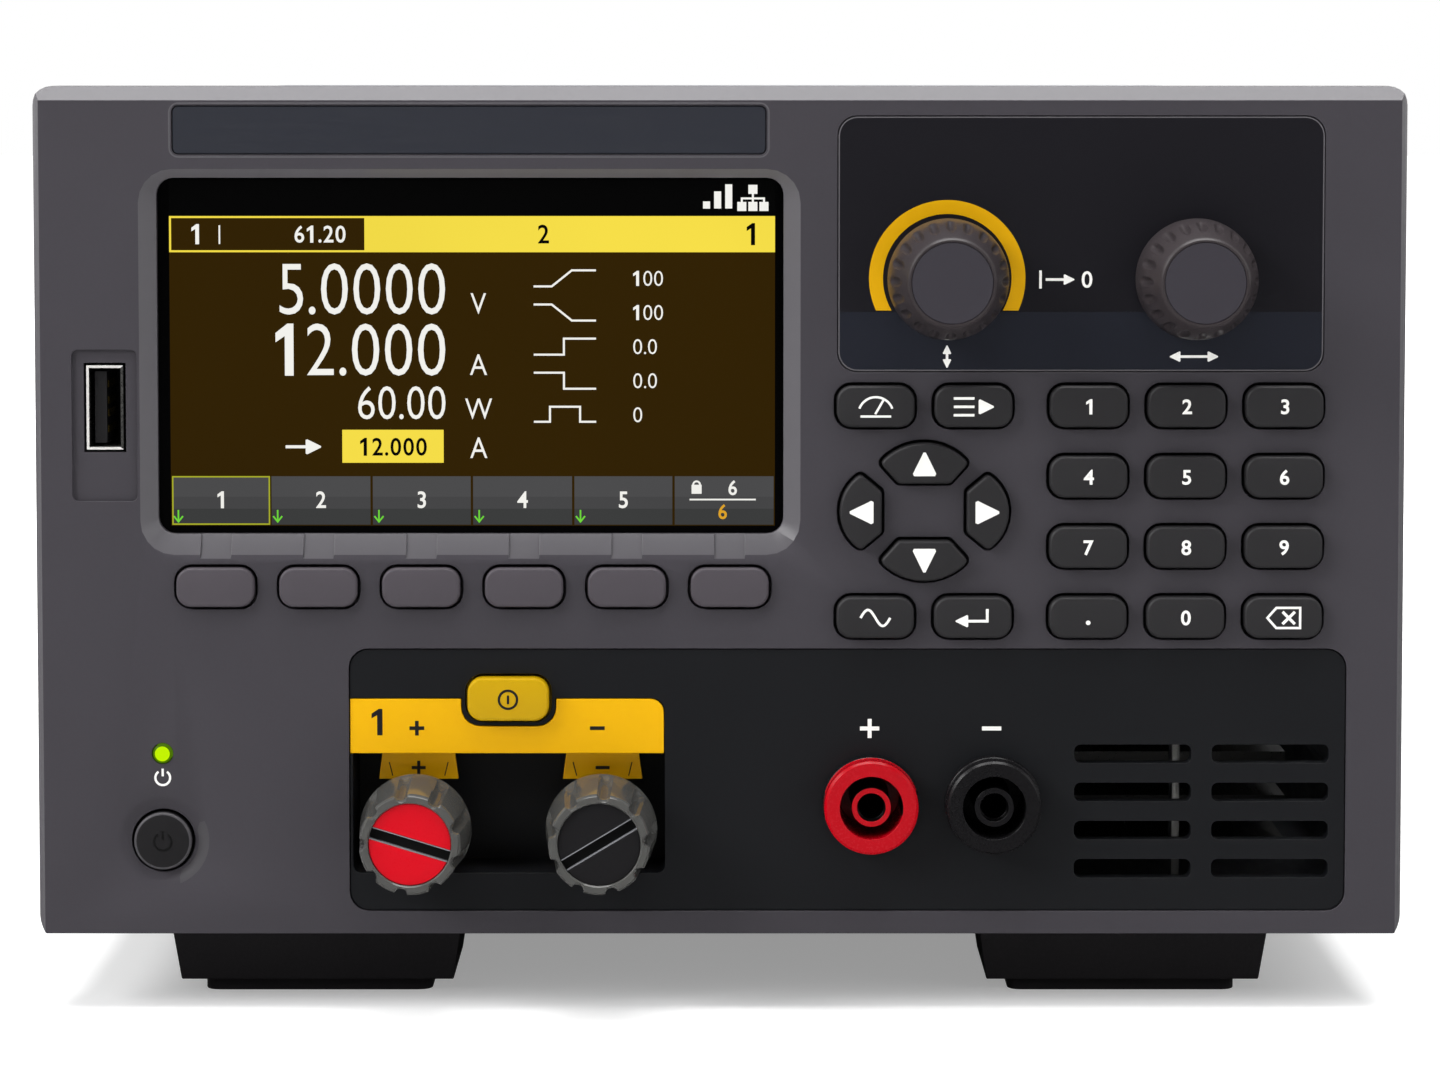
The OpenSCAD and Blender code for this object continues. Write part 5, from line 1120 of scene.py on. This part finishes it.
class LOAD_OT_overlay(bpy.types.Operator):
    """Film round the knobs, with its yellow arc, blue-grey strip and pictograms"""

    bl_idname = "bench_load.overlay"
    bl_label = "Overlay"

    def execute(self, context):
        moulding("knob_overlay", material("film"), "overlay_film")
        low, high, x, z = seat("knob_overlay")
        face, split, r = low.y - FACE, STRIP_TOP, OVERLAY_CORNER
        sheet = pad(x, z, high.x - low.x, high.z - low.z, r, 8)
        # A pale line round the film's edge: a painted highlight where the edge catches the light
        edge = hoop(inset(sheet, 0.02), 0.2, face)
        piece("overlay_edge", [(edge, material("slope"))], "root", "overlay_film")
        left, right = arc(low.x + r, low.z + r, r, 180, 270, 8), arc(high.x - r, low.z + r, r, 270, 360, 8)
        strip = plate(inset([(low.x, split), *left, *right, (high.x, split)], 0.23), face - 0.02, face + 0.01)
        piece("overlay_strip", [(strip, material("film_low"))], "root", "overlay_film")

        knob = [seat(node)[2] for node in ("vertical_knob", "horizontal_knob")]
        z, (inner, outer) = seat("vertical_knob")[3], ARC_R
        drop = [math.degrees(math.asin((split - z) / q)) for q in (outer, inner)]
        band = arc(knob[0], z, outer, drop[0], 180 - drop[0], 72)
        band += arc(knob[0], z, inner, 180 - drop[1], drop[1], 72)
        shells = [(plate(band, face - 0.05, face + 0.01), material("yellow_ink"))]
        piece("knob_arc", shells, "root", "yellow_plastic")

        w, cap, out = 0.4, 102.75, 1.05
        marks = bars(w, (knob[0], cap - 0.2, knob[0], cap + 0.2), (knob[1] - 1.9, cap, knob[1] + 1.9, cap))
        marks += [arrowhead(knob[0], cap + out, 1.3, 90), arrowhead(knob[0], cap - out, 1.3, 270)]
        marks += [arrowhead(knob[1] - 2.9, cap, 1.6, 180), arrowhead(knob[1] + 2.9, cap, 1.6, 0)]
        x, mid = sum(knob) / 2 - 0.1, 114.7
        marks += [bar(x - 3.6, mid, x - 1.2, mid, w), arrowhead(x - 0.2, mid, 1.6, 0)]
        marks += bars(w, (x - 4.6, mid - 1.2, x - 4.6, mid + 1.2))
        ink = material("white_ink")
        shells = [(m, ink) for m in printed(marks, face - 0.02)]
        shells.append((figures("0", 2.6, x + 2.6, mid, face - 0.02, bold=0.012), ink))
        piece("overlay_marks", shells, "root", "overlay_film")
        return {"FINISHED"}


SCREEN_LEFT, SCREEN_TOP = -85.55, 130.05  # upper left corner of the picture, in mm


def spot(u, v):
    """A place on the display, in dots from its upper left corner."""
    return SCREEN_LEFT + u * size("dot"), SCREEN_TOP - v * size("dot")


def layers(layer):
    """Front and back depth of one layer of the picture, on the front of the glass."""
    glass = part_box("display_window")[0].y / MM - FACE
    return glass - 0.02 * layer, glass + 0.005


def symbol(outlines, layer):
    """Strokes given in dots, drawn in one layer."""
    return [plate([spot(*p) for p in o], *layers(layer)) for o in outlines]


def field(u0, v0, u1, v1, layer):
    """A rectangle of the display in dots."""
    return symbol([[(u0, v0), (u1, v0), (u1, v1), (u0, v1)]], layer)[0]


def value(text, high, u, v, layer, anchor=1.0, bold=0.0, squeeze=0.92):
    """Figures on the display: their height in dots and the place of their edge."""
    front = layers(layer)[0] + size("relief") - 0.004
    return figures(text, high * size("dot"), *spot(u, v), front, anchor, bold, squeeze)


class LOAD_OT_display(bpy.types.Operator):
    """Display glass with its lit picture"""

    bl_idname = "bench_load.display"
    bl_label = "Display"

    def execute(self, context):
        coat("display_window", material("glass"))
        coat("lcd_module", material("tin"))
        lit = []

        def draw(shells, key):
            lit.extend((s, glow(key)) for s in shells)

        draw([field(0, 0, 602, 36, 1)], "night")
        draw([field(0, 72, 602, 294, 1), field(0, 294, 602, 345, 1)], "ground")
        draw([field(0, 36, 602, 72, 1)], "header")
        draw([field(2, 38, 194, 70, 2)], "ground")
        # Row of link pictograms in the black strip
        draw(symbol(bars(7, (534, 25, 534, 25.1), (545, 25, 545, 15), (556, 25, 556, 8)), 2), "figures")
        boxes = ((580, 10), (569, 27), (580, 27), (591, 27))
        draw([field(u - 4.5, v - 5, u + 4.5, v + 4, 2) for u, v in boxes], "figures")
        links = (580, 12, 580, 24), (569, 18.5, 591, 18.5), (569, 18.5, 569, 24), (591, 18.5, 591, 24)
        draw(symbol(bars(2, *links), 2), "figures")
        # Header: a mode number and the limit in the dark box, the range on the bright field
        draw([value("1", 20, 26, 54, 3, 0.5, 0.02), value("61.20", 17, 150, 54, 3, 0.5, 0.012)], "figures")
        draw(symbol(bars(1.6, (50, 46, 50, 63)), 3), "figures")
        draw([value("2", 19, 372, 54, 3, 0.5, 0.012), value("1", 22, 578, 54, 3, 0.5, 0.02)], "night")
        # Readings with their units
        rows = (("5.0000", 51, 274, 108.5), ("12.000", 52, 274, 169), ("60.00", 33, 274, 222))
        draw([value(t, h, u, v, 2, 1.0, -0.006, 0.84) for t, h, u, v in rows], "figures")
        units = (("V", 123), ("A", 184), ("W", 228), ("A", 267))
        draw([value(t, 21, 307, v, 2, 0.5, -0.004, 0.86) for t, v in units], "figures")
        draw([field(171, 249, 272, 282, 2)], "header")
        draw([value("12.000", 18, 222, 266, 3, 0.5, 0.014)], "night")
        draw(symbol([arrowhead(142, 266, 15, 0), bar(116, 266, 134, 266, 3)], 2), "figures")
        # Five settings: a step or ramp pictogram and its number
        ramps = (
            [(362, 106), (380, 106), (400, 90), (424, 90)],
            [(362, 124), (380, 124), (400, 140), (424, 140)],
            [(362, 174), (392, 174), (392, 158), (424, 158)],
            [(362, 192), (392, 192), (392, 208), (424, 208)],
            [(362, 241), (378, 241), (378, 226), (408, 226), (408, 241), (424, 241)],
        )
        draw(symbol([stroke(points, 2) for points in ramps], 2), "figures")
        settings = (("100", 98), ("100", 132), ("0.0", 166), ("0.0", 200), ("0", 234))
        draw([value(t, 15, 461, v, 2, 0.0, -0.008, 0.95) for t, v in settings], "figures")
        # Tabs over the soft keys
        edges = (0, 99, 200, 300, 401, 501, 602)
        for i in range(6):
            left, right = edges[i] + 1.2, edges[i + 1] - 1.2
            for key, head, foot in (("tab_high", 295.5, 316), ("tab", 316, 328), ("tab_low", 328, 344)):
                draw([field(left, head, right, foot, 2)], key)
            if i < 5:
                u = left + 6
                pointer = (u, 330, u, 339), (u - 4, 336, u, 341), (u + 4, 336, u, 341)
                draw(symbol(bars(1.6, *pointer), 3), "green")
                draw([value(str(i + 1), 17, (left + right) / 2, 319, 3, 0.5, 0.014)], "figures")
        # A line round the chosen tab, and the lock with its numbers in the last one
        left, right, head, foot = 1.8, 98, 296, 343.4
        sides = [(left, v, right, v) for v in (head, foot)] + [(u, head, u, foot) for u in (left, right)]
        draw(symbol(bars(1.4, *sides), 3), "tab_line")
        draw([field(517, 318, 583, 319.6, 3), field(519, 304, 529, 313, 3)], "figures")
        draw(symbol([bow(524, 304, 3.4, 1.8, 180, 360)], 3), "figures")
        draw([value("6", 15, 560, 307, 3, 0.5, 0.014)], "figures")
        draw([value("6", 15, 550, 331, 3, 0.5, 0.014)], "amber")
        piece("display_picture", lit, "root", "display", angle=60)
        return {"FINISHED"}


def tree_of(name, lengths):
    """An empty node tree with a geometry input, named lengths and a material, and its group input."""
    tree = bpy.data.node_groups.new(name, "GeometryNodeTree")
    tree.interface.new_socket("Geometry", in_out="INPUT", socket_type="NodeSocketGeometry")
    for label in lengths:
        tree.interface.new_socket(label, in_out="INPUT", socket_type="NodeSocketFloat")
    tree.interface.new_socket("Material", in_out="INPUT", socket_type="NodeSocketMaterial")
    tree.interface.new_socket("Geometry", in_out="OUTPUT", socket_type="NodeSocketGeometry")
    return tree, add(tree, "NodeGroupInput").outputs


def close_tree(tree, given, spread):
    """Makes the instances real, gives them their material and hands them out."""
    real = add(tree, "GeometryNodeRealizeInstances", {0: spread.outputs[0]})
    done = add(tree, "GeometryNodeSetMaterial", {"Geometry": real.outputs[0], "Material": given["Material"]})
    add(tree, "NodeGroupOutput", {0: done.outputs[0]})
    return tree


def grown(name, points, tree, inputs, **attributes):
    """The plain mesh that a node tree grows on points in mm, each with its attributes."""
    mesh = bpy.data.meshes.new(name)
    mesh.from_pydata([Vector(p) * MM for p in points], [], [])
    for label, values in attributes.items():
        if isinstance(values[0], float):
            mesh.attributes.new(label, "FLOAT", "POINT").data.foreach_set("value", values)
        else:
            flat = [c for v in values for c in v]
            mesh.attributes.new(label, "FLOAT_VECTOR", "POINT").data.foreach_set("vector", flat)
    seed = bpy.data.objects.new(name, mesh)
    bpy.context.scene.collection.objects.link(seed)
    grow = seed.modifiers.new("grow", "NODES")
    grow.node_group = tree
    for socket in tree.interface.items_tree:
        if socket.in_out == "INPUT" and socket.name in inputs:
            grow[socket.identifier] = inputs[socket.name]
    made = bpy.data.meshes.new_from_object(seed.evaluated_get(bpy.context.evaluated_depsgraph_get()))
    bpy.data.objects.remove(seed)
    if not made.polygons:
        raise RuntimeError(f"{name} grew no faces")
    shade(made, 32)
    return made


def box_tree():
    """Small blocks, each of one size, on points."""
    tree, given = tree_of("contact blocks", ("Width", "Depth", "Height"))
    side = add(tree, "ShaderNodeCombineXYZ", {0: given["Width"], 1: given["Depth"], 2: given["Height"]})
    block = add(tree, "GeometryNodeMeshCube", {"Size": side.outputs[0]})
    parts = {"Points": given["Geometry"], "Instance": block.outputs["Mesh"]}
    return close_tree(tree, given, add(tree, "GeometryNodeInstanceOnPoints", parts))


def screw_tree():
    """Pan-head screws with a cross recess on points. Each point has its axis and the length of its shank."""
    tree, given = tree_of("screws", ("Head Radius", "Head Height", "Shank Radius", "Recess Width"))
    radius, height, slot = (given[label] for label in ("Head Radius", "Head Height", "Recess Width"))
    cone = {"Vertices": 32, "Radius Top": 0.0, "Radius Bottom": radius, "Depth": height}
    head = add(tree, "GeometryNodeMeshCone", cone)
    crown = add(tree, "ShaderNodeMath", {0: radius, 1: 0.72}, operation="MULTIPLY")
    tree.links.new(crown.outputs[0], head.inputs["Radius Top"])
    span = add(tree, "ShaderNodeMath", {0: radius, 1: 1.15}, operation="MULTIPLY").outputs[0]
    lifted = add(tree, "ShaderNodeCombineXYZ", {2: height}).outputs[0]
    cutters = []
    for a, b in ((span, slot), (slot, span)):
        side = add(tree, "ShaderNodeCombineXYZ", {0: a, 1: b, 2: height})
        block = add(tree, "GeometryNodeMeshCube", {"Size": side.outputs[0]}).outputs["Mesh"]
        moved = add(tree, "GeometryNodeTransform", {"Geometry": block, "Translation": lifted})
        cutters.append(moved.outputs[0])
    solids = {"Mesh 1": head.outputs["Mesh"], "Mesh 2": cutters}
    cut = add(tree, "GeometryNodeMeshBoolean", solids, operation="DIFFERENCE")
    rod = {"Vertices": 24, "Radius": given["Shank Radius"], "Depth": 1.0}
    shank = add(tree, "GeometryNodeMeshCylinder", rod).outputs["Mesh"]
    sunk = add(tree, "GeometryNodeTransform", {"Geometry": shank, "Translation": (0, 0, -0.5)})
    axis = add(tree, "GeometryNodeInputNamedAttribute", {"Name": "axis"}, data_type="FLOAT_VECTOR")
    long = add(tree, "GeometryNodeInputNamedAttribute", {"Name": "shank"}, data_type="FLOAT")
    turn = add(tree, "FunctionNodeAlignRotationToVector", {"Vector": axis.outputs[0]}, axis="Z")
    stretch = add(tree, "ShaderNodeCombineXYZ", {0: 1.0, 1: 1.0, 2: long.outputs[0]})
    seats = {"Points": given["Geometry"], "Rotation": turn.outputs[0]}
    heads = add(tree, "GeometryNodeInstanceOnPoints", {**seats, "Instance": cut.outputs[0]})
    rods = {**seats, "Instance": sunk.outputs[0], "Scale": stretch.outputs[0]}
    shanks = add(tree, "GeometryNodeInstanceOnPoints", rods)
    both = add(tree, "GeometryNodeJoinGeometry", {0: [heads.outputs[0], shanks.outputs[0]]})
    return close_tree(tree, given, both)


HEAD_R, HEAD_HIGH, SHANK_R, RECESS_WIDE = 2.8, 1.5, 1.5, 0.8  # screws, in mm


class LOAD_OT_screws(bpy.types.Operator):
    """Every screw of the case, the fan, the feet and the boards"""

    bl_idname = "bench_load.screws"
    bl_label = "Screws"

    def execute(self, context):
        feet, axes, lengths = [], [], []
        for solid in islands("screws"):
            low, high = reach(solid)
            span, middle = high - low, (low + high) / 2
            k = max(range(3), key=lambda i: abs(span[i] - 2 * HEAD_R))

            def off_axis(p):
                out = p - middle
                out[k] = 0
                return out.length

            wide = [p[k] for p in solid if off_axis(p) > HEAD_R - 0.2]
            way = 1 if sum(wide) / len(wide) > middle[k] else -1
            foot = middle.copy()
            foot[k] = (high[k] - HEAD_HIGH) if way > 0 else (low[k] + HEAD_HIGH)
            feet.append(foot)
            axes.append([way if i == k else 0 for i in range(3)])
            lengths.append((span[k] - HEAD_HIGH) * MM)
        inputs = {"Head Radius": HEAD_R * MM, "Head Height": HEAD_HIGH * MM, "Shank Radius": SHANK_R * MM}
        inputs.update({"Recess Width": RECESS_WIDE * MM, "Material": material("screw")})
        mesh = grown("screw_set", feet, screw_tree(), inputs, axis=axes, shank=lengths)
        place("screw_set", mesh, "root", "screw_steel", ("screws",))
        return {"FINISHED"}


USB_X, USB_HALF = -95.4, (2.45, 6.15)  # middle of the front USB opening and half its sides, in mm


class LOAD_OT_sockets(bpy.types.Operator):
    """Front USB socket, and the sockets at the rear with their contacts"""

    bl_idname = "bench_load.sockets"
    bl_label = "Sockets"

    def execute(self, context):
        blocks = box_tree()

        def contacts(name, points, sides, slot):
            inputs = {label: side * MM for label, side in zip(("Width", "Depth", "Height"), sides)}
            mesh = grown(name, points, blocks, {**inputs, "Material": material("gold")})
            place(name, mesh, "root", slot)

        low, _, _, z = seat("usb_port")
        x, front = USB_X, low.y

        def within(p, corners):
            return abs(p.x - x) < USB_HALF[0] - 0.1 and abs(p.z - z) < USB_HALF[1] - 0.1 and p.y > front + 0.5

        # The shell's front edge is bare sheared metal, made bright only on its left, top and bottom where the light
        # falls; the right side, in shade, stays plated, so this is partly a painted highlight
        def rim(p, corners):
            return max(q.y for q in corners) < front + 0.05 and p.x < x + 1.9

        coat("usb_port", material("tin"), [(rim, material("sheared")), (within, material("connector"))])
        points = [(x + 0.23, front + 6.2, z + d) for d in (-3.5, -1.0, 1.0, 3.5)]
        contacts("usb_contacts", points, (0.12, 7.5, 1.1), "usb_shell")

        boxes = sorted((reach(s) for s in islands("rear_connectors")), key=lambda b: b[0].z)
        lan, usb_b, block = sorted(boxes[:3], key=lambda b: b[0].x)
        inlet = boxes[3]
        pins = [(inlet[0] + inlet[1]) / 2 + Vector((dx, 0, dz)) for dx, dz in ((-7, -2), (0, 2), (7, -2))]

        def inside(b, margin):
            def test(p, corners):
                return all(b[0][k] + margin < p[k] < b[1][k] - margin for k in (0, 2)) and p.y > b[0].y + 1

            return test

        def shell(b):
            return lambda p, corners: all(b[0][k] - 0.05 < p[k] < b[1][k] + 0.05 for k in range(3))

        def pin(p, corners):
            on_pin = any(abs(p.x - q.x) < 1.1 and abs(p.z - q.z) < 2.1 for q in pins)
            return on_pin and inlet[0].y + 3.5 < p.y < inlet[1].y - 1

        rules = [(pin, material("nickel"))]
        rules += [(inside(b, 0.9), material("connector")) for b in (lan, usb_b)]
        rules += [(shell(b), material("tin")) for b in (lan, usb_b)]
        rules += [(inside(block, 0.4), material("black"))]
        coat("rear_connectors", material("connector"), rules)
        middle = (lan[0] + lan[1]) / 2
        points = [(middle.x + (i - 3.5) * 1.02, lan[1].y - 6.5, middle.z - 3.2) for i in range(8)]
        contacts("network_contacts", points, (0.45, 6, 0.3), "connector_plastic")
        return {"FINISHED"}


class LOAD_OT_inside(bpy.types.Operator):
    """Fan, heatsink and boards"""

    bl_idname = "bench_load.inside"
    bl_label = "Inside"

    def execute(self, context):
        for node, key in (
            ("fan_frame", "fan"),
            ("fan_rotor", "fan"),
            ("heatsink", "aluminium"),
            ("power_transistors", "epoxy"),
            ("circuit_boards", "epoxy"),
        ):
            coat(node, material(key))
        return {"FINISHED"}


STEPS = (
    LOAD_OT_stage,
    LOAD_OT_case,
    LOAD_OT_bezel,
    LOAD_OT_keys,
    LOAD_OT_knobs,
    LOAD_OT_posts,
    LOAD_OT_jacks,
    LOAD_OT_terminals,
    LOAD_OT_overlay,
    LOAD_OT_display,
    LOAD_OT_screws,
    LOAD_OT_sockets,
    LOAD_OT_inside,
)


class LOAD_PT_panel(bpy.types.Panel):
    """Steps, colours and sizes of the bench load"""

    bl_idname = "LOAD_PT_panel"
    bl_label = "Bench load"
    bl_space_type = "VIEW_3D"
    bl_region_type = "UI"
    bl_category = "Bench load"

    def draw(self, context):
        for step in STEPS:
            self.layout.operator(step.bl_idname)
        for group in (context.scene.load_colours, context.scene.load_sizes):
            for name in group.__annotations__:
                self.layout.prop(group, name)


CLASSES = (LoadColours, LoadSizes, *STEPS, LOAD_PT_panel)


def register():
    for item in CLASSES:
        bpy.utils.register_class(item)
    bpy.types.Scene.load_colours = PointerProperty(type=LoadColours)
    bpy.types.Scene.load_sizes = PointerProperty(type=LoadSizes)


def unregister():
    del bpy.types.Scene.load_sizes
    del bpy.types.Scene.load_colours
    for item in reversed(CLASSES):
        bpy.utils.unregister_class(item)


def main():
    register()
    for step in STEPS:
        group, name = step.bl_idname.split(".")
        getattr(getattr(bpy.ops, group), name)()


if __name__ == "__main__":
    main()
